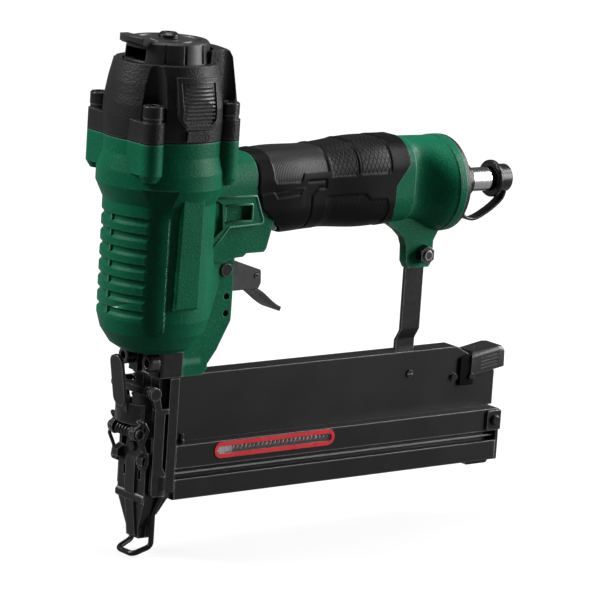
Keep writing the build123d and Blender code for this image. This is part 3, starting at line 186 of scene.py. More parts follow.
def draw_green(at):
    grain = at.noise(0.0011, 3.0)
    cloud = at.noise(0.018, 3.0)
    edge = at.edge_wear_and_highlight(0.0019)
    base = cloud.step(0.3, 0.7).between((0.0020, 0.094, 0.045, 1), (0.0030, 0.114, 0.055, 1))
    # Lighter green specks: partly the paint's own grain, partly painted glints.
    base = (grain.step(0.56, 0.72) * 0.45).between(base, (0.016, 0.17, 0.10, 1))
    # Painted highlight: the edges are drawn lighter green.
    base = (edge * 0.7).between(base, (0.09, 0.29, 0.2, 1))
    rough = grain.step(0.3, 0.75).range(0.36, 0.5)
    sheen = (edge * 0.9 + grain.step(0.58, 0.7) * 0.12).maths("MINIMUM", 1.0)
    return {"Base Color": base, "Roughness": rough, "Coat Weight": sheen,
            "Normal": grain.normal(0.0008, 0.34, 0.0005)}


green_paint = finish("green_paint", {"Specular IOR Level": 0.1, "Coat Roughness": 0.28}, draw_green)
dress(green_paint, "main_housing")


def smooth_object(name, points, faces, material):
    """A piece from its points in mm and its faces, shaded smooth."""
    mesh = bpy.data.meshes.new(name)
    mesh.from_pydata((np.asarray(points) / 1000).tolist(), [], faces)
    mesh.polygons.foreach_set("use_smooth", [True] * len(mesh.polygons))
    mesh.materials.append(material)
    piece = bpy.data.objects.new(name, mesh)
    bpy.context.scene.collection.objects.link(piece)
    return piece


FLASH_TURN = math.radians(246.6)
FLASH_ENDS = (106, 162)
FLASH_RINGS = 150
FLASH_SEAT = 0.3
FLASH_FEET = (0.6, 0.5)
FLASH_TALL = 0.5
FLASH_LEAN = 0.25
FLASH_RAGGED = 0.2
FLASH_FADE = 3
FLASH_WAVES = [(0.9, 0), (2.3, 1), (4.7, 2), (0.31, 0)]


def flash_ridge(turn, ends, count):
    """The ragged seam of the mould on the barrel, seated on the casting: three points to a ring, in mm."""
    out = Vector((math.cos(turn), math.sin(turn), 0))
    clear_of_barrel = out * 0.06
    points = []
    for i in range(count):
        z = ends[0] + (ends[1] - ends[0]) * i / (count - 1)
        start = clear_of_barrel + Vector((0, 0, z / 1000))
        _, spot, face, _ = nodes["main_housing"].ray_cast(start, -out)
        spot = spot * 1000
        side = Vector((-face.y, face.x, 0)).normalized()
        foot = face * FLASH_SEAT
        ragged = FLASH_RAGGED * sum(math.sin(rate * z + shift) for rate, shift in FLASH_WAVES)
        tall = (FLASH_TALL + ragged) * min(1, i / FLASH_FADE, (count - 1 - i) / FLASH_FADE)
        lean = FLASH_LEAN + ragged
        points += [spot - side * FLASH_FEET[0] - foot, spot + face * tall - side * lean,
                   spot + side * FLASH_FEET[1] - foot]
    faces = [(2, 1, 0), tuple(3 * count - 3 + j for j in range(3))]
    for i in range(count - 1):
        for j in range(3):
            k = (j + 1) % 3
            faces.append((3 * i + j, 3 * i + k, 3 * i + 3 + k, 3 * i + 3 + j))
    return smooth_object("mould_flash", points, faces, green_paint)


flash = flash_ridge(FLASH_TURN, FLASH_ENDS, FLASH_RINGS)
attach(flash, "housing")


def swept(name, path, across, profile, material):
    """A solid whose section, given across and up from the path, follows the path; its ends are closed."""
    path = np.asarray(path, float)
    run = np.gradient(path, axis=0)
    run /= np.linalg.norm(run, axis=1)[:, None]
    up = np.cross(run, across)
    rings = [spot + profile[:, :1] * np.asarray(across) + profile[:, 1:] * lift for spot, lift in zip(path, up)]
    count = len(profile)
    faces = [tuple(reversed(range(count))), tuple((len(rings) - 1) * count + j for j in range(count))]
    for i in range(len(rings) - 1):
        for j in range(count):
            k = (j + 1) % count
            faces.append((i * count + j, i * count + k, (i + 1) * count + k, (i + 1) * count + j))
    return smooth_object(name, np.concatenate(rings), faces, material)


def turned_corners(corners, radius):
    """A line through its corners, each rounded off."""
    corners = np.asarray(corners, float)
    line = [corners[0]]
    for before, here, after in zip(corners, corners[1:], corners[2:]):
        start = here + (before - here) * radius / np.linalg.norm(before - here)
        end = here + (after - here) * radius / np.linalg.norm(after - here)
        line += [start * (1 - t) ** 2 + here * 2 * t * (1 - t) + end * t * t for t in np.linspace(0, 1, 5)]
    return np.array(line + [corners[-1]])


CHEEK_FACE = 18.7
CHEEK_FRAME = [(20.0, 168.3), (43.9, 168.3), (48.7, 156.0), (47.6, 154.5), (28.4, 153.9), (25.0, 149.8),
               (18.6, 143.7)]
CHEEK_WINDOW = [(26.4, 164.5), (41.9, 164.5), (41.9, 156.3), (26.4, 156.3)]
RIDGE_RADIUS = 0.55
RIDGE_CORNER = 0.9
RIDGE_SIDES = 12
turns = np.linspace(0, 2 * math.pi, RIDGE_SIDES, endpoint=False)
ridge_section = RIDGE_RADIUS * np.stack((np.cos(turns), np.sin(turns)), 1)
for side, label in ((-1, "near"), (1, "far")):
    for number, corners in enumerate((CHEEK_FRAME, CHEEK_WINDOW)):
        path = [(x, side * CHEEK_FACE, z) for x, z in turned_corners(corners, RIDGE_CORNER)]
        ridge = swept("cheek_ridge_%s_%d" % (label, number), path, (0, side, 0), ridge_section, green_paint)
        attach(ridge, "housing")


# The cylinder group works inside the barrel: a turned alloy sleeve with its seal rings, a piston with
# its ring and the ground driver blade, a rubber bumper below and a plastic head valve above.

SLEEVE_FEED = 0.0012083


def draw_alloy(at):
    lathe = at.along(2).waves(SLEEVE_FEED)
    grain = at.noise(0.0025, 2.0)
    base = grain.between((0.50, 0.51, 0.52, 1), (0.66, 0.66, 0.67, 1))
    return {"Base Color": base, "Roughness": grain.range(0.22, 0.4),
            "Normal": lathe.normal(0.0003, 0.08, 0.0001)}


alloy = finish("turned_alloy", {"Metallic": 1.0}, draw_alloy)
dress(alloy, "cylinder_sleeve", "piston")


def draw_ground_steel(at):
    scratch = at.noise(0.0006, 2.0, (1, 1, 30))
    base = scratch.between((0.42, 0.42, 0.43, 1), (0.62, 0.62, 0.62, 1))
    return {"Base Color": base, "Roughness": scratch.range(0.18, 0.38),
            "Normal": scratch.normal(0.0002, 0.1, 0.00005)}


ground_steel = finish("ground_steel", {"Metallic": 1.0}, draw_ground_steel)


# Painted shade: the driver blade sits in the nose's shadow, so its steel is drawn dark.
def draw_shaded_steel(at):
    film = at.noise(0.003, 2.0, (1, 1, 8))
    return {"Base Color": film.between((0.035, 0.034, 0.033, 1), (0.07, 0.068, 0.066, 1)),
            "Roughness": film.range(0.25, 0.4), "Normal": film.normal(0.0002, 0.1, 0.00005)}


steel_painted_shade = finish("steel_painted_shade", {"Metallic": 1.0}, draw_shaded_steel)
dress(steel_painted_shade, "driver_blade")
dress(ground_steel, "valve_stem", "pusher")


def draw_valve_plastic(at):
    cloud = at.noise(0.006, 2.0)
    base = cloud.between((0.60, 0.57, 0.49, 1), (0.72, 0.69, 0.61, 1))
    return {"Base Color": base, "Roughness": cloud.range(0.4, 0.55),
            "Normal": cloud.normal(0.0004, 0.05, 0.0002)}


valve_plastic = finish("valve_plastic", {"Specular IOR Level": 0.45}, draw_valve_plastic)
dress(valve_plastic, "head_valve", "trigger_valve_body", "piston_ring")


def draw_rubber(at):
    bloom = at.noise(0.004, 3.0)
    fine = at.noise(0.0004, 2.0)
    base = bloom.step(0.35, 0.75).between((0.006, 0.006, 0.0062, 1), (0.011, 0.011, 0.011, 1))
    return {"Base Color": base, "Roughness": bloom.range(0.2, 0.34),
            "Normal": (fine + bloom).normal(0.0005, 0.1, 0.0002)}


rubber = finish("moulded_rubber", {"Specular IOR Level": 0.4}, draw_rubber)
dress(rubber, "seal_rings", "bumper", "head_valve_seal", "tether_ring", "dust_cap", "slide_foot")


# The wound springs are drawn steel wire with a grey, lightly oiled skin, coiled cold. They sit loose between
# their seats, where being pressed holds them. One tree winds them all, also those of the sections below.

def draw_spring_wire(at):
    skin = at.noise(0.002, 2.0)
    base = skin.step(0.3, 0.7).between((0.10, 0.10, 0.103, 1), (0.22, 0.22, 0.223, 1))
    return {"Base Color": base, "Roughness": skin.range(0.24, 0.42),
            "Normal": skin.normal(0.0001, 0.1, 0.0001)}


spring_wire = finish("spring_wire", {"Metallic": 1.0}, draw_spring_wire)


def tree_inputs(tree, **kinds):
    """Named inputs on a tree, and the group-input node that gives their sockets."""
    for name, kind in kinds.items():
        tree.interface.new_socket(name, in_out="INPUT", socket_type="NodeSocket" + kind)
    tree.interface.new_socket("Geometry", in_out="OUTPUT", socket_type="NodeSocketGeometry")
    return tree.nodes.new("NodeGroupInput").outputs


def add(tree, kind, settings=None, links=None):
    """A geometry node with its settings, then its sockets' links or values."""
    made = tree.nodes.new("GeometryNode" + kind)
    for name, value in (settings or {}).items():
        setattr(made, name, value)
    for name, value in (links or {}).items():
        if isinstance(value, bpy.types.NodeSocket):
            tree.links.new(value, made.inputs[name])
        else:
            made.inputs[name].default_value = value
    return made


def close(tree, geometry, material):
    """Ends a tree: instances made real, the material set."""
    real = add(tree, "RealizeInstances", {}, {"Geometry": geometry})
    paint = add(tree, "SetMaterial", {}, {"Geometry": real.outputs[0], "Material": material})
    end = tree.nodes.new("NodeGroupOutput")
    tree.links.new(paint.outputs[0], end.inputs[0])


def grown(name, tree, values):
    """Runs a tree with its named values and keeps the result as a plain mesh at the origin."""
    piece = bpy.data.objects.new(name, bpy.data.meshes.new(name))
    bpy.context.scene.collection.objects.link(piece)
    modifier = piece.modifiers.new("grow", "NODES")
    modifier.node_group = tree
    sockets = {item.name: item.identifier for item in tree.interface.items_tree if item.in_out == "INPUT"}
    for label, value in values.items():
        modifier[sockets[label]] = value
    bpy.context.view_layer.update()
    seen = piece.evaluated_get(bpy.context.evaluated_depsgraph_get())
    mesh = bpy.data.meshes.new_from_object(seen)
    piece.modifiers.clear()
    piece.data = mesh
    return piece


def spring_tree():
    """A coil of round wire from its turns, radius and length, set where and as it is told."""
    tree = bpy.data.node_groups.new("wound_spring", "GeometryNodeTree")
    given = tree_inputs(tree, Turns="Float", Radius="Float", Length="Float", Wire="Float", Start="Vector",
                        Turn="Vector", Material="Material")
    spiral = add(tree, "CurveSpiral", {}, {
        "Resolution": 20, "Rotations": given["Turns"], "Start Radius": given["Radius"],
        "End Radius": given["Radius"], "Height": given["Length"],
    })
    wire = add(tree, "CurvePrimitiveCircle", {}, {"Resolution": 8, "Radius": given["Wire"]})
    tube = add(tree, "CurveToMesh", {}, {
        "Curve": spiral.outputs[0], "Profile Curve": wire.outputs[0], "Fill Caps": True,
    })
    smooth = add(tree, "SetShadeSmooth", {}, {"Geometry": tube.outputs[0]})
    placed = add(tree, "Transform", {}, {
        "Geometry": smooth.outputs[0], "Translation": given["Start"], "Rotation": given["Turn"],
    })
    close(tree, placed.outputs[0], given["Material"])
    return tree


wound = spring_tree()
ALONG_X = (0, math.pi / 2, 0)
ALONG_Y = (-math.pi / 2, 0, 0)
ALONG_Z = (0, 0, 0)


def spring(name, node, body, start, turn, turns, radius, wire, length, material=spring_wire):
    """A spring that stands for a CAD node. Lengths are in metres, and wire is the wire's radius."""
    piece = grown(name, wound, {"Turns": turns, "Radius": radius, "Length": length, "Wire": wire,
                                "Start": start, "Turn": turn, "Material": material})
    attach(piece, body)
    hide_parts(node)
    return piece


head_spring = spring("head_spring", "head_valve_spring", "housing", start=(0, 0, 0.2035), turn=ALONG_Z,
                     turns=4.0, radius=0.014, wire=0.0009, length=0.0196)
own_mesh(head_spring)
stem_spring = spring("stem_spring", "valve_spring", "housing", start=(0.0445, 0, 0.1494), turn=ALONG_Z,
                     turns=3.0, radius=0.0029, wire=0.0004, length=0.007)
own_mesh(stem_spring)


# The cylinder cap is a second die casting, sprayed black with a coarse grain. A thin gasket seals it, and
# four socket screws on split washers pull it down. A ribbed grille sits in a raised frame on each side.

def draw_cap(at):
    grit = at.specks(0.0012)
    grain = at.noise(0.0010, 2.0)
    cloud = at.noise(0.02, 2.0)
    height = grain * 0.6 + grit * 0.8
    edge = at.edge_wear_and_highlight(0.0010)
    base = cloud.step(0.3, 0.7).between((0.011, 0.011, 0.0115, 1), (0.017, 0.017, 0.0175, 1))
    # Painted highlight: the edges are drawn lighter grey.
    base = (edge * 0.6).between(base, (0.11, 0.11, 0.112, 1))
    sheen = (edge * 0.8 + grain.step(0.58, 0.7) * 0.1).maths("MINIMUM", 1.0)
    return {"Base Color": base, "Roughness": grain.range(0.4, 0.52), "Coat Weight": sheen,
            "Normal": height.normal(0.0006, 0.3, 0.0005)}


cap_black = finish("cap_black_paint", {"Specular IOR Level": 0.2, "Coat Roughness": 0.28}, draw_cap)
dress(cap_black, "cylinder_cap")


def draw_gasket(at):
    fibre = at.noise(0.0006, 2.0, (6, 6, 1))
    base = fibre.between((0.004, 0.004, 0.004, 1), (0.009, 0.009, 0.009, 1))
    return {"Base Color": base, "Roughness": fibre.range(0.6, 0.8)}


gasket_paper = finish("gasket_paper", {"Specular IOR Level": 0.1}, draw_gasket)
dress(gasket_paper, "cap_gasket")


def oxide(reach):
    """Draws black oxide on steel, with its edges painted bright this far in, partly as worn steel and partly as
    a painted highlight.
    """

    def draw(at):
        skin = at.noise(0.003, 3.0)
        fine = at.noise(0.0005, 2.0)
        edge = at.edge_wear_and_highlight(reach)
        base = skin.step(0.3, 0.7).between((0.0042, 0.0042, 0.0044, 1), (0.0100, 0.0098, 0.0096, 1))
        # Edges painted bright grey: worn steel and painted highlight.
        base = (edge * 0.8).between(base, (0.42, 0.415, 0.41, 1))
        rough = (skin * 0.6 + fine * 0.4).range(0.22, 0.38)
        return {"Base Color": base, "Roughness": rough, "Coat Weight": edge,
                "Normal": (fine + skin).normal(0.00045, 0.14, 0.0002)}

    return draw


OXIDE = {"Metallic": 0.2, "Specular IOR Level": 0.46, "Coat Roughness": 0.2}
black_oxide = finish("black_oxide_steel", OXIDE, oxide(0.0009))
small_oxide = finish("black_oxide_small_steel", OXIDE, oxide(0.0003))
dress(black_oxide, "cap_screws", "deflector_screw")


# The exhaust deflector is a turret moulded in black plastic. One socket screw holds it on the cap, and the
# user turns it by its lip to aim the exhaust.

def draw_moulded_black(at):
    fine = at.noise(0.0005, 2.0)
    cloud = at.noise(0.012, 2.0)
    edge = at.edge_wear_and_highlight(0.0009)
    base = cloud.step(0.3, 0.7).between((0.015, 0.015, 0.0155, 1), (0.021, 0.021, 0.0215, 1))
    # Painted highlight: the edges are drawn lighter grey.
    base = (edge * 0.5).between(base, (0.09, 0.09, 0.092, 1))
    return {"Base Color": base, "Roughness": cloud.range(0.32, 0.44),
            "Normal": fine.normal(0.0007, 0.1, 0.0002)}


moulded_black = finish("moulded_black_plastic", {"Specular IOR Level": 0.42}, draw_moulded_black)
dress(moulded_black, "exhaust_deflector")


# The trigger is a folded sheet-steel shoe with a curled lower blade, sprayed grey-black, its tail painted
# darker as shade.
# It turns on a headed pin through the tongue and carries the safety rocker on a small pin of its own.

TAIL_SHADE_TOP = (0.1165, 0.1195)


def draw_trigger(at):
    fine = at.noise(0.0007, 2.0)
    rub = at.noise(0.006, 3.0)
    edge = at.edge_wear_and_highlight(0.0008)
    base = rub.step(0.35, 0.7).between((0.040, 0.0395, 0.0395, 1), (0.058, 0.057, 0.057, 1))
    # Painted shade: the tail, which faces down, is drawn darker below this height.
    base = at.along(2).step(*TAIL_SHADE_TOP).between((0.019, 0.019, 0.0195, 1), base)
    # Painted highlight: the edges are drawn lighter grey.
    base = (edge * 0.5).between(base, (0.15, 0.15, 0.15, 1))
    return {"Base Color": base, "Roughness": rub.range(0.4, 0.55),
            "Normal": fine.normal(0.0006, 0.1, 0.0002)}


trigger_grey = finish("trigger_grey_paint", {"Metallic": 0.1, "Specular IOR Level": 0.35}, draw_trigger)
dress(trigger_grey, "trigger")
dress(black_oxide, "rocker_pin", "rocker", "housing_pins")


# The soft grip is a moulded rubber sleeve, pushed over the handle and held by its own stretch. Sunk panels of
# ribs and of crossed grooves lie on its top, a stepped line and a hooked groove on each flank, and another
# ribbed panel low at the rear. Its lengths are in mm here, and the panels' outlines are in x and z.

GRIP_ENDS = (40.0, 139.0)
GRIP_HALF_WIDE = 18.6
GRIP_HALF_TALL = (19.9, 22.75)
GRIP_MIDDLE_Z = (167.3, 169.15)
GRIP_SWELL = 0.5
SWELL_START = 50.0
SWELL_LENGTH = 26.0
GRIP_CORNER = 15.0
GRIP_WALL = 2.2
GRIP_COLUMNS = 232
RING_COUNTS = (16, 52, 28)
EDGE_GUESS = (47.0, 137.0)
FRONT_EDGE = ([140, 148, 152.5, 162, 172, 184, 200], [72, 66, 59.5, 47.5, 45.2, 46.6, 47.4])
REAR_EDGE = ([140, 147, 156, 168, 179, 200], [134.5, 134.5, 130.8, 130.8, 139, 139])
SQUARE_ROWS = (74, 128)
RIB_PANEL = [(55, 200), (54.5, 176), (56, 173.6), (70.5, 173.6), (72.5, 177.8), (88, 177.8), (88, 200)]
LOW_PANEL = [(87, 165.6), (110.7, 165.7), (114, 162.7), (124.8, 162.3), (126.8, 157), (126.7, 140),
             (87, 140)]
LOW_PANEL_FADE = (86, 91)
RIB_DEPTH = 0.5
LOW_DEPTH = 0.4
CROSS_PANELS = [
    [(90, 200), (90, 175), (105, 175), (105, 200)],
    [(108.5, 200), (108.5, 175.3), (124, 175.3), (125.5, 178), (125.5, 200)],
]
CROSS_DEPTH = 0.35
RECESS = [(54, 169.6), (56.6, 166.2), (70, 167.3), (72, 170.4)]
RECESS_DEPTH = 0.35
LEDGE = ([46, 72], [168.5, 170.7])
LEDGE_END = 74
LEDGE_FADE = 3
LEDGE_DROP = 14
LEDGE_SLOPE = 0.6
LEDGE_RISE = 0.4
HOOK = [(75.6, 173.6), (86.2, 173.5), (86.3, 170), (82, 170), (77.6, 166.5), (77.6, 161.5), (78, 154),
        (78, 144)]
HOOK_HALF = 0.55
CROSS_GROOVES = (105.7, 107.8, 126.1)
CROSS_GROOVE_HALF = 0.5
CROSS_GROOVE_FOOT = 175
CROSS_GROOVE_FADE = 1.5
GROOVE_DEPTH = 0.55
LIP_WIDE = 0.9
LIP_DEPTH = 0.45


def ring_of_sleeve(flat, arc, side):
    """Once round the sleeve from its top: the share of each flat, and the way out, as (y, z) each."""
    at, out = [], []
    for quarter, count in enumerate((flat, side, flat, side)):
        face = math.pi / 2 * (1 - quarter)
        for i in range(count):
            share = 2 * i / count - 1
            at.append([(share, 1), (1, -share), (-share, -1), (-1, share)][quarter])
            out.append((math.cos(face), math.sin(face)))
        corner = [(1, 1), (1, -1), (-1, -1), (-1, 1)][quarter]
        for i in range(arc):
            turn = face - math.pi / 2 * i / arc
            at.append(corner)
            out.append((math.cos(turn), math.sin(turn)))
    return np.array(at), np.array(out)


ring_at, ring_out = ring_of_sleeve(*RING_COUNTS)


def sleeve_skin(x, raised):
    """The sleeve's skin at x: a rounded oblong that swells and narrows a little along the handle."""
    share = (x - GRIP_ENDS[0]) / (GRIP_ENDS[1] - GRIP_ENDS[0])
    swell = GRIP_SWELL * np.sin((x - SWELL_START) / SWELL_LENGTH * np.pi)
    half_tall, middle = (low + (high - low) * share for low, high in (GRIP_HALF_TALL, GRIP_MIDDLE_Z))
    wide = GRIP_HALF_WIDE + swell - GRIP_CORNER
    tall = half_tall + swell - GRIP_CORNER
    y = ring_at[:, 0] * wide + ring_out[:, 0] * (GRIP_CORNER + raised)
    z = middle + ring_at[:, 1] * tall + ring_out[:, 1] * (GRIP_CORNER + raised)
    return y, z


def from_line(corners, x, z):
    """Distance to a line through its corners."""
    nearest = np.full(x.shape, 1e9)
    for (ax, az), (bx, bz) in zip(corners, corners[1:]):
        run, rise = bx - ax, bz - az
        share = np.clip(((x - ax) * run + (z - az) * rise) / (run * run + rise * rise), 0, 1)
        nearest = np.minimum(nearest, np.hypot(x - ax - share * run, z - az - share * rise))
    return nearest


def inside(corners, x, z, wall=0.5):
    """1 inside a panel's outline and 0 outside, with a sloped wall between."""
    ring = corners + corners[:1]
    within = np.zeros(x.shape, bool)
    for (ax, az), (bx, bz) in zip(ring, ring[1:]):
        if az != bz:
            within ^= ((az > z) != (bz > z)) & (x < (bx - ax) * (z - az) / (bz - az) + ax)
    depth = from_line(ring, x, z)
    share = np.clip(np.where(within, depth, -depth) / wall + 0.5, 0, 1)
    return share * share * (3 - 2 * share)


def ramp(values):
    """The values cut off below 0 and above 1."""
    return np.clip(values, 0, 1)


columns = np.linspace(*GRIP_ENDS, GRIP_COLUMNS)
nominal = np.repeat(columns[:, None], len(ring_at), 1)
front, rear = (np.full(len(ring_at), guess) for guess in EDGE_GUESS)
for _ in range(4):
    front = np.interp(sleeve_skin(front, 0)[1], *FRONT_EDGE)
    rear = np.interp(sleeve_skin(rear, 0)[1], *REAR_EDGE)
first, last = SQUARE_ROWS
to_front = first - (first - nominal) * (first - front) / (first - GRIP_ENDS[0])
to_rear = last + (nominal - last) * (rear - last) / (GRIP_ENDS[1] - last)
grip_x = np.where(nominal < first, to_front, np.where(nominal > last, to_rear, nominal))
grip_z = sleeve_skin(grip_x, 0)[1]
rib_panel = inside(RIB_PANEL, grip_x, grip_z)
low_panel = inside(LOW_PANEL, grip_x, grip_z) * ramp((grip_x - LOW_PANEL_FADE[0]) / np.ptp(LOW_PANEL_FADE))
cross_panel = ramp(sum(inside(panel, grip_x, grip_z) for panel in CROSS_PANELS))
recess = inside(RECESS, grip_x, grip_z)
ledge = np.interp(grip_x, *LEDGE) - grip_z
below_ledge = (ramp(ledge / LEDGE_SLOPE + 0.5) * ramp((LEDGE_END - grip_x) / LEDGE_FADE)
               * ramp(1 - ledge / LEDGE_DROP))
grooves = np.exp(-(from_line(HOOK, grip_x, grip_z) / HOOK_HALF) ** 2)
for groove_x in CROSS_GROOVES:
    over_top = ramp((grip_z - CROSS_GROOVE_FOOT) / CROSS_GROOVE_FADE)
    grooves += np.exp(-((grip_x - groove_x) / CROSS_GROOVE_HALF) ** 2) * over_top
grooves = ramp(grooves)
from_ends = np.minimum(grip_x - front, rear - grip_x)
lip = ramp(1 - from_ends / LIP_WIDE) ** 2
relief = (LEDGE_RISE * below_ledge - RIB_DEPTH * rib_panel - LOW_DEPTH * low_panel - CROSS_DEPTH * cross_panel
          - RECESS_DEPTH * recess - GROOVE_DEPTH * grooves - LIP_DEPTH * lip)
skin_y, skin_z = sleeve_skin(grip_x, relief)
wall_y, wall_z = sleeve_skin(grip_x, np.full(grip_x.shape, -GRIP_WALL))
rows = [np.stack(row, 1) for row in zip(grip_x, skin_y, skin_z)]
rows.append(np.stack((grip_x[-1], wall_y[-1], wall_z[-1]), 1))
rows.append(np.stack((grip_x[0], wall_y[0], wall_z[0]), 1))
around = len(ring_at)
quads = []
for i in range(len(rows)):
    here, there = i * around, (i + 1) % len(rows) * around
    for j in range(around):
        k = (j + 1) % around
        quads.append((here + j, there + j, there + k, here + k))


RIB_PITCH = 0.00095
CROSS_PITCH = 0.0026
CROSS_RISE = 0.0052
# Heights in metres of the band on the ribbed panels where a highlight is painted.
HIGHLIGHT_BAND_FROM = (0.168, 0.180)
HIGHLIGHT_BAND_TO = (0.184, 0.194)


def draw_grip(at):
    ribbed, crossed, girth, sunk = (at.node("Attribute", {"attribute_name": name}, {}, "Fac")
                                    for name in ("ribbed", "crossed", "girth", "sunk"))
    fine = at.noise(0.0005, 2.0)
    cloud = at.noise(0.02, 2.0)
    ribs = at.along(0).waves(RIB_PITCH) * 0.5 + 0.5
    lines = at.along(0) / CROSS_PITCH
    one = ((lines + girth / CROSS_RISE).maths("FRACT") - 0.5).maths("ABSOLUTE").step(0.34, 0.46)
    other = ((lines - girth / CROSS_RISE).maths("FRACT") - 0.5).maths("ABSOLUTE").step(0.34, 0.46)
    cross = one.maths("MAXIMUM", other) * crossed
    down = (ribs * ribbed * 0.7).maths("MAXIMUM", cross)
    up = at.along(2)
    # Painted highlight: a band on the ribbed panels where the light catches them, fading towards the top.
    painted_highlight_band = ribbed * up.step(*HIGHLIGHT_BAND_FROM) * (1 - up.step(*HIGHLIGHT_BAND_TO) * 0.7)
    base = cloud.step(0.3, 0.7).between((0.0048, 0.0048, 0.005, 1), (0.007, 0.007, 0.0072, 1))
    # The band's painted highlight is a lighter grey in the base colour.
    base = painted_highlight_band.between(base, (0.020, 0.020, 0.020, 1))
    # Painted shade: the ribs' grooves, the crossed grooves and the hook groove are drawn near black.
    base = (down * 0.85).maths("MAXIMUM", sunk * 0.8).between(base, (0.003, 0.003, 0.003, 1))
    sheen = (painted_highlight_band * 0.58 + crossed * 0.25) * (1 - down * 0.9)
    return {"Base Color": base, "Roughness": cloud.range(0.36, 0.48), "Coat Weight": sheen,
            "Normal": (fine * 0.25 - down).normal(0.0004, 0.55, 0.00035)}


grip_rubber = finish("grip_rubber", {"Specular IOR Level": 0.06, "Coat Roughness": 0.44}, draw_grip)
grip = smooth_object("soft_grip", np.concatenate(rows), quads, grip_rubber)
GRIP_GIRTH = 0.132
girth = np.repeat(np.linspace(0, GRIP_GIRTH, around)[None], len(columns), 0)
for label, values in (("ribbed", ramp(rib_panel + low_panel)), ("crossed", cross_panel), ("sunk", grooves),
                      ("girth", girth)):
    every = np.concatenate((values, values[-1:], values[:1])).ravel()
    grip.data.attributes.new(label, "FLOAT", "POINT").data.foreach_set("value", every.astype(np.float32))
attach(grip, "housing")
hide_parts("grip_sleeve")


# The rear cover is moulded in black plastic; it closes the bell and carries the turned and plated air plug. A
# rubber ring on the plug holds the strap of the rubber dust cap, which is pulled over the plug's end.

dress(moulded_black, "rear_cover")


PLUG_FEED = 0.0008976


def draw_chrome(at):
    lathe = at.along(0).waves(PLUG_FEED)
    haze = at.noise(0.004, 2.0)
    base = haze.between((0.5, 0.5, 0.51, 1), (0.6, 0.6, 0.6, 1))
    return {"Base Color": base, "Roughness": haze.range(0.17, 0.27),
            "Normal": lathe.normal(0.0004, 0.02, 0.00005)}


chrome = finish("plated_plug", {"Metallic": 1.0}, draw_chrome)
dress(chrome, "air_plug")


def eased(corners, steps):
    """A smooth line through its corners."""
    spots = np.array([corners[0]] + list(corners) + [corners[-1]], float)
    line = []
    for a, b, c, d in zip(spots, spots[1:], spots[2:], spots[3:]):
        square = 2 * a - 5 * b + 4 * c - d
        cube = 3 * b - a - 3 * c + d
        for t in np.linspace(0, 1, steps, endpoint=False):
            line.append(0.5 * (2 * b + (c - a) * t + square * t ** 2 + cube * t ** 3))
    return np.array(line + [spots[-1]])


def rounded_section(wide, thick, radius):
    """The outline of a band with rounded edges, across and up from its middle."""
    outline = []
    for quarter, (across, up) in enumerate(((1, 1), (-1, 1), (-1, -1), (1, -1))):
        for i in range(5):
            turn = math.pi / 2 * (quarter + i / 4)
            outline.append((across * (wide / 2 - radius) + radius * math.cos(turn),
                            up * (thick / 2 - radius) + radius * math.sin(turn)))
    return np.array(outline)


STRAP_LINE = [(188.0, 156.8), (187.7, 151.6), (188.6, 147.4), (192.4, 145.2), (197.0, 145.2), (203.0, 147.6),
              (209.0, 151.0), (213.4, 154.6), (215.2, 158.5)]
STRAP_WIDE = 6.0
STRAP_THICK = 1.5
STRAP_EDGE = 0.5
strap_path = [(x, 0, z) for x, z in eased(STRAP_LINE, 10)]
strap = swept("strap_band", strap_path, (0, 1, 0), rounded_section(STRAP_WIDE, STRAP_THICK, STRAP_EDGE), rubber)
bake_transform(strap)
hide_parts("cap_strap")


# The hanger is a pressed steel strip with a black oxide skin, let into the magazine's rail at its foot. A bolt
# and nut, plated with black zinc as the nose screws are, fix its top to the casting's ear.

dress(black_oxide, "hanger_bracket")


# Where a bright ring is painted on the bolt's end as a highlight.
BOLT_AXIS = (0.1579, 0.1306)
PAINTED_RING_RADII = (0.0017, 0.0026)
PAINTED_RING_SOFTNESS = (0.0003, 0.0002)


def draw_black_zinc(at):
    cloud = at.noise(0.002, 2.0)
    reach = ((at.along(0) - BOLT_AXIS[0]) ** 2 + (at.along(2) - BOLT_AXIS[1]) ** 2) ** 0.5
    inner, outer = PAINTED_RING_RADII
    # Painted highlight: a bright ring round the bolt's end; the edges are painted bright too, as worn plating
    # and as highlight.
    rim = reach.step(inner, inner + PAINTED_RING_SOFTNESS[0]) - reach.step(outer - PAINTED_RING_SOFTNESS[1], outer)
    edge = at.edge_wear_and_highlight(0.0008).maths("MAXIMUM", rim)
    base = cloud.between((0.045, 0.045, 0.048, 1), (0.08, 0.08, 0.084, 1))
    base = (edge * 0.7).between(base, (0.5, 0.5, 0.51, 1))
    return {"Base Color": base, "Roughness": cloud.range(0.16, 0.26),
            "Normal": cloud.normal(0.0004, 0.05, 0.0001)}


black_zinc = finish("black_zinc", {"Metallic": 0.7, "Specular IOR Level": 0.6}, draw_black_zinc)
dress(black_zinc, "bracket_bolt", "bracket_nut", "nose_screws")


# The nose is hardened steel with a black oxide skin. Two screws hold its base under the barrel. The driver
# guide and the front cover stand before it, and the cover's rivet and the latch's headed pin are black too.

dress(black_oxide, "nose_base", "driver_guide", "front_cover", "nose_pins")


# The quick latch is an over-centre lever of bent sheet steel on a pressed bracket, black like the nose. Its two
# bent wires pull the cover's hooks up, and a spring wound round its pin holds it.

dress(black_oxide, "latch_bracket", "latch_lever", "latch_links")
spring("lever_spring", "latch_spring", "housing", start=(-0.012, -0.006, 0.054), turn=ALONG_Y,
       turns=5.0, radius=0.0022, wire=0.00085, length=0.0118, material=black_oxide)


# The work contact is a bent steel wire in two pressed arms, all black. A plate on the far side carries its
# travel up to the trigger's rocker, and a small spring pushes it down.

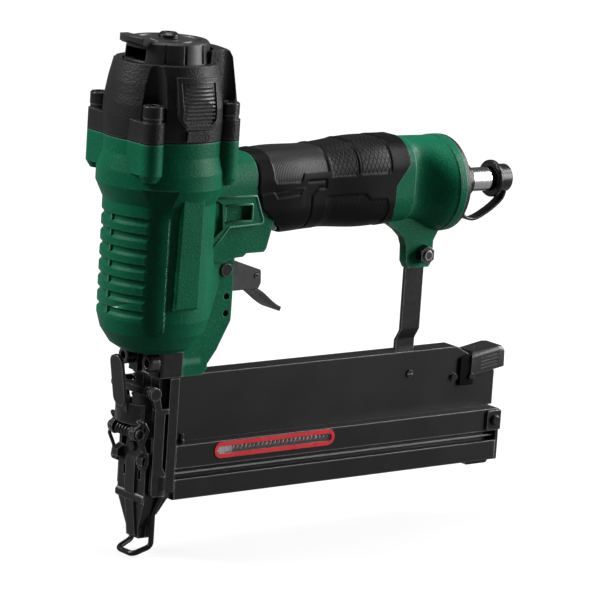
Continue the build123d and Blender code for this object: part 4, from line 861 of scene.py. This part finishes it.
dress(black_oxide, "contact_wire", "contact_arms", "cross_pin", "safety_link")
return_spring = spring("return_spring", "arm_spring", "housing", start=(0.001, 0.0124, 0.0664), turn=ALONG_Z,
                       turns=6.0, radius=0.00135, wire=0.0004, length=0.0142)
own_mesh(return_spring)


# The magazine is two black anodised extrusions, a fixed rail and the sliding cover below it. Their long edges
# are painted bright, as rubbed metal and as highlight. A pressed steel plate is screwed to the cover's rear
# end.

def draw_anodised(at):
    drawn = at.noise(0.0009, 3.0, (60, 1, 1))
    cloud = at.noise(0.03, 2.0)
    edge = at.edge_wear_and_highlight(0.0010)
    base = cloud.step(0.3, 0.7).between((0.0085, 0.0085, 0.0087, 1), (0.0125, 0.0125, 0.0127, 1))
    # Edges painted light grey: rubbed metal and painted highlight.
    base = (edge * 0.9).between(base, (0.6, 0.6, 0.6, 1))
    return {"Base Color": base, "Roughness": (drawn * 0.5 + cloud * 0.5).range(0.3, 0.44),
            "Normal": drawn.normal(0.0004, 0.05, 0.0001)}


anodised = finish("black_anodised", {"Metallic": 0.05, "Specular IOR Level": 0.28}, draw_anodised)
dress(anodised, "magazine_rail", "slide_cover", "slide_core")
dress(black_oxide, "end_plate")
dress(small_oxide, "rail_pins", "slide_screws")


# The level window is a clear strip in a red film on the slide; behind it the pusher's long spring and
# bright end show how many fasteners are left.

def draw_film(at):
    cloud = at.noise(0.008, 2.0)
    base = cloud.between((0.60, 0.028, 0.036, 1), (0.72, 0.045, 0.054, 1))
    return {"Base Color": base, "Roughness": cloud.range(0.22, 0.34),
            "Normal": cloud.normal(0.0002, 0.04, 0.0002)}


red_film = finish("red_film", {"Specular IOR Level": 0.35}, draw_film)
dress(red_film, "level_frame")


def draw_clear(at):
    haze = at.noise(0.004, 2.0)
    return {"Base Color": haze.between((0.75, 0.75, 0.75, 1), (0.9, 0.9, 0.9, 1)),
            "Roughness": haze.range(0.05, 0.14), "Alpha": haze.range(0.03, 0.07)}


clear_strip = finish("clear_strip", {"Specular IOR Level": 0.5}, draw_clear)
dress(clear_strip, "level_window")


def draw_bright_wire(at):
    skin = at.noise(0.002, 2.0)
    base = skin.step(0.3, 0.7).between((0.46, 0.46, 0.46, 1), (0.62, 0.62, 0.62, 1))
    return {"Base Color": base, "Roughness": skin.range(0.3, 0.45)}


bright_wire = finish("bright_spring_wire", {"Metallic": 0.6}, draw_bright_wire)
feed_spring = spring("feed_spring", "pusher_spring", "magazine_slide", start=(0.0444, -0.00955, 0.04215),
                     turn=ALONG_X, turns=66.0, radius=0.0013, wire=0.00045, length=0.1672, material=bright_wire)
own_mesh(feed_spring)


# The magazine latch is a moulded thumb cap over the rail's end, on two legs that the pivot pin crosses. Its
# top edges are well rounded, its flanks have grip grooves, and a hole in its top shows the spring's post.
# A steel pawl below it holds the slide, and a small spring lifts it.

def prism(outline, low, high):
    """A bar whose outline is given in x and z, between two values of y."""
    body = bmesh.new()
    near = [body.verts.new((x, low, z)) for x, z in outline]
    far = [body.verts.new((x, high, z)) for x, z in outline]
    body.faces.new(near)
    body.faces.new(far)
    for i in range(len(outline)):
        j = (i + 1) % len(outline)
        body.faces.new((near[i], near[j], far[j], far[i]))
    bmesh.ops.recalc_face_normals(body, faces=body.faces)
    return body


def softened(body, chosen, radius):
    """Rounds the edges of a body whose two ends are both chosen."""
    edges = [edge for edge in body.edges if all(chosen(*vertex.co) for vertex in edge.verts)]
    bmesh.ops.bevel(body, geom=edges, offset=radius, segments=6, profile=0.5, affect="EDGES")
    return body


def placed(name, body):
    """A body in mm as an object in metres."""
    bmesh.ops.scale(body, vec=(0.001, 0.001, 0.001), verts=body.verts)
    mesh = bpy.data.meshes.new(name)
    body.to_mesh(mesh)
    body.free()
    piece = bpy.data.objects.new(name, mesh)
    bpy.context.scene.collection.objects.link(piece)
    return piece


SHARP_FROM = math.radians(32)


def shaped(name, first, steps, material):
    """A piece made from a first body by joining or cutting others, with its flat faces left flat."""
    piece = placed(name, first)
    tools = []
    for operation, body in steps:
        tools.append(placed(name + "_tool", body))
        modifier = piece.modifiers.new("shape", "BOOLEAN")
        modifier.operation = operation
        modifier.object = tools[-1]
    bpy.context.view_layer.update()
    mesh = bpy.data.meshes.new_from_object(piece.evaluated_get(bpy.context.evaluated_depsgraph_get()))
    piece.modifiers.clear()
    piece.data = mesh
    for tool in tools:
        bpy.data.objects.remove(tool)
    mesh.polygons.foreach_set("use_smooth", [True] * len(mesh.polygons))
    mesh.set_sharp_from_angle(angle=SHARP_FROM)
    mesh.materials.clear()
    mesh.materials.append(material)
    return piece


def draw_thumb(at):
    fine = at.noise(0.0005, 2.0)
    cloud = at.noise(0.008, 2.0)
    edge = at.edge_wear_and_highlight(0.0012)
    base = cloud.step(0.3, 0.7).between((0.011, 0.011, 0.0115, 1), (0.016, 0.016, 0.0165, 1))
    # Painted highlight: the top edges are drawn lighter grey.
    base = (edge * 0.75).between(base, (0.2, 0.2, 0.202, 1))
    return {"Base Color": base, "Roughness": cloud.range(0.26, 0.38),
            "Normal": fine.normal(0.0006, 0.1, 0.0002)}


# Painted shade: the legs sit in the thumb cap's shadow, so they are drawn near black and dull, with edges
# painted lighter as a highlight.
def draw_leg_shade(at):
    fine = at.noise(0.0006, 2.0)
    edge = at.edge_wear_and_highlight(0.0008)
    base = fine.between((0.0022, 0.0022, 0.0024, 1), (0.004, 0.004, 0.0043, 1))
    base = (edge * 0.4).between(base, (0.05, 0.05, 0.05, 1))
    return {"Base Color": base, "Roughness": fine.range(0.5, 0.62),
            "Normal": fine.normal(0.0004, 0.1, 0.0002)}


thumb_black = finish("thumb_black_plastic", {"Specular IOR Level": 0.42}, draw_thumb)
leg_painted_shade = finish("leg_plastic_painted_shade", {"Specular IOR Level": 0.06}, draw_leg_shade)


def post_hole(x, z, radius):
    """A short upright drill for the hole over the spring's post."""
    body = bmesh.new()
    bmesh.ops.create_cone(body, cap_ends=True, segments=24, radius1=radius, radius2=radius, depth=6,
                          matrix=Matrix.Translation((x, 0, z)))
    return body


CAP_OUTLINE = [(197.0, 75.5), (215.6, 78.6), (218.6, 77.6), (218.9, 67.2), (200.4, 64.4), (197.0, 64.0)]
CAP_HALF = 7.7
CAP_EDGES_OVER = 75
CAP_ROUNDING = 2.4
LEG_OUTLINE = [(190.2, 73.4), (197.6, 75.2), (199.6, 74.0), (199.6, 59), (190.2, 59)]
LEG_HALF = 6.9
LEG_FOOT = 60
LEG_FRONT = 191
LEG_ROUNDING = 0.6
HOLLOW_OUTLINE = [(180, 40), (230, 40), (217, 66), (217, 76.2), (198.4, 73.9), (197.4, 76), (197.4, 90),
                  (180, 90)]
HOLLOW_HALF = 5.75
THUMB_LINES = (67.2, 69.0, 70.8, 72.6)
THUMB_LINE_ENDS = (203.4, 214.6)
THUMB_LINE_RISE = 1.7
THUMB_LINE_WIDE = 0.6
THUMB_LINE_CUT = (7.3, 9)
POST_HOLE = (206, 77, 1.1)
LEG_REACH = (0.1996, 0.0072)

cap_body = softened(prism(CAP_OUTLINE, -CAP_HALF, CAP_HALF), lambda x, y, z: z > CAP_EDGES_OVER, CAP_ROUNDING)
leg = softened(prism(LEG_OUTLINE, -LEG_HALF, LEG_HALF), lambda x, y, z: z < LEG_FOOT or x < LEG_FRONT,
               LEG_ROUNDING)
hollow = prism(HOLLOW_OUTLINE, -HOLLOW_HALF, HOLLOW_HALF)
cuts = [hollow, post_hole(*POST_HOLE)]
for z in THUMB_LINES:
    start, end = THUMB_LINE_ENDS
    over = z + THUMB_LINE_RISE
    line = [(start, z), (end, over), (end, over + THUMB_LINE_WIDE), (start, z + THUMB_LINE_WIDE)]
    cuts += [prism(line, side * THUMB_LINE_CUT[0], side * THUMB_LINE_CUT[1]) for side in (-1, 1)]
thumb = shaped("thumb_cap", cap_body, [("UNION", leg)] + [("DIFFERENCE", cut) for cut in cuts], thumb_black)
# The legs' faces take the near-black material of painted shade.
thumb.data.materials.append(leg_painted_shade)
for face in thumb.data.polygons:
    if face.center.x < LEG_REACH[0] and abs(face.center.y) < LEG_REACH[1]:
        face.material_index = 1
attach(thumb, "magazine_latch")
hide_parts("magazine_latch")
dress(black_oxide, "latch_pawl")
press_spring = spring("press_spring", "thumb_spring", "housing", start=(0.207, 0, 0.0668), turn=ALONG_Z,
                      turns=3.0, radius=0.002, wire=0.0004, length=0.008)
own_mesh(press_spring)


# The stand is a sheet of white paper that keeps a soft shadow, in a white room with four large soft lamps. The
# camera is that of the photograph: it looks down a little and is rolled so that the tool leans.

FLOOR_Z = cad_box[0].z - 0.0002
FLOOR_HALF = 4.0
FLOOR_GREY = (0.13, 0.13, 0.13, 1)
FLOOR_IN_GLOSS = 0.15
SHADE_MIDDLE = (0.05, 0.05, FLOOR_Z)
SHADE_REACH = (0.1, 0.5)
SHADE_LEVEL = 0.86
WHITE = (1, 1, 1, 1)


def rays(tree):
    """What a ray is, as three masks: from the camera, off a glossy face, or through a clear one."""
    camera = Shade(tree, tree.nodes.new("ShaderNodeLightPath").outputs["Is Camera Ray"])
    mirror = camera.node("LightPath", {}, {}, "Is Glossy Ray")
    through = camera.node("LightPath", {}, {}, "Is Transmission Ray")
    return camera, mirror, through


sheet = bpy.data.meshes.new("floor")
sheet.from_pydata([(x * FLOOR_HALF, y * FLOOR_HALF, FLOOR_Z) for x, y in ((-1, -1), (1, -1), (1, 1), (-1, 1))],
                  [], [(0, 1, 2, 3)])
floor = bpy.data.objects.new("floor", sheet)
bpy.context.scene.collection.objects.link(floor)
paper = bpy.data.materials.new("white_paper")
paper.use_nodes = True
tree = paper.node_tree
tree.nodes.clear()
camera, mirror, through = rays(tree)
matt = camera.node("BsdfDiffuse", {}, {"Color": FLOOR_GREY})
place = camera.node("TexCoord", {}, {}, "Object")
away = place.node("VectorMath", {"operation": "DISTANCE"}, {0: place, 1: SHADE_MIDDLE}, "Value")
# Painted shade: the paper's glow to the camera is dimmer near the tool, so that its shadow shows there.
bright = camera.maths("MAXIMUM", through) * away.step(*SHADE_REACH).range(SHADE_LEVEL, 1.0)
bright = bright.maths("MAXIMUM", mirror * FLOOR_IN_GLOSS)
glow = camera.node("Emission", {}, {"Color": WHITE, "Strength": bright})
both = camera.node("AddShader", {}, {0: matt, 1: glow})
tree.links.new(both.socket, tree.nodes.new("ShaderNodeOutputMaterial").inputs["Surface"])
sheet.materials.append(paper)

ROOM_FILL = 0.02
ROOM_IN_GLOSS = 0.08
world = bpy.data.worlds.new("studio")
bpy.context.scene.world = world
world.use_nodes = True
tree = world.node_tree
tree.nodes.clear()
camera, mirror, through = rays(tree)
seen = camera.maths("MAXIMUM", mirror * ROOM_IN_GLOSS).maths("MAXIMUM", through)
light = camera.node("Background", {}, {"Color": WHITE, "Strength": seen.range(ROOM_FILL, 1.0)})
tree.links.new(light.socket, tree.nodes.new("ShaderNodeOutputWorld").inputs["Surface"])


LAMP_AIM = Vector((0.09, 0.0, 0.12))


def lamp(name, place, width, height, watts):
    """A soft rectangular lamp that faces the middle of the tool."""
    data = bpy.data.lights.new(name, "AREA")
    data.shape = "RECTANGLE"
    data.size = width
    data.size_y = height
    data.energy = watts
    made = bpy.data.objects.new(name, data)
    made.location = place
    made.rotation_mode = "QUATERNION"
    made.rotation_quaternion = (Vector(place) - LAMP_AIM).to_track_quat("Z", "Y")
    bpy.context.scene.collection.objects.link(made)


lamp("left", (-1.0, 0.62, 1.05), width=0.55, height=0.7, watts=26.0)
lamp("top", (0.15, 0.2, 1.45), width=0.7, height=0.5, watts=11.0)
lamp("right_high", (1.14, -0.28, 0.80), width=0.45, height=0.45, watts=14.0)
lamp("right_low", (1.12, -0.76, 0.45), width=0.5, height=0.7, watts=15.0)

CAMERA_TURN, CAMERA_RISE, CAMERA_ROLL = (math.radians(angle) for angle in (-38.01, 11.69, 3.78))
CAMERA_AIM = Vector((0.08888, 0.0, 0.11013))
CAMERA_AWAY = 1.80205
SENSOR = 36.0
FOCUS_IN_PIXELS = 3648.45
PICTURE_SIDE = 600
flat = math.cos(CAMERA_RISE)
back = Vector((math.sin(CAMERA_TURN) * flat, -math.cos(CAMERA_TURN) * flat, math.sin(CAMERA_RISE)))
right = Vector((math.cos(CAMERA_TURN), math.sin(CAMERA_TURN), 0))
up = back.cross(right)
across = right * math.cos(CAMERA_ROLL) + up * math.sin(CAMERA_ROLL)
upward = up * math.cos(CAMERA_ROLL) - right * math.sin(CAMERA_ROLL)
eye = bpy.data.objects.new("camera", bpy.data.cameras.new("camera"))
eye.data.sensor_width = SENSOR
eye.data.lens = SENSOR * FOCUS_IN_PIXELS / PICTURE_SIDE
eye.data.clip_end = 20.0
stance = Matrix((across, upward, back)).transposed().to_4x4()
eye.matrix_world = Matrix.Translation(CAMERA_AIM + back * CAMERA_AWAY) @ stance
bpy.context.scene.collection.objects.link(eye)
bpy.context.scene.camera = eye
bpy.context.scene.view_settings.view_transform = "Standard"
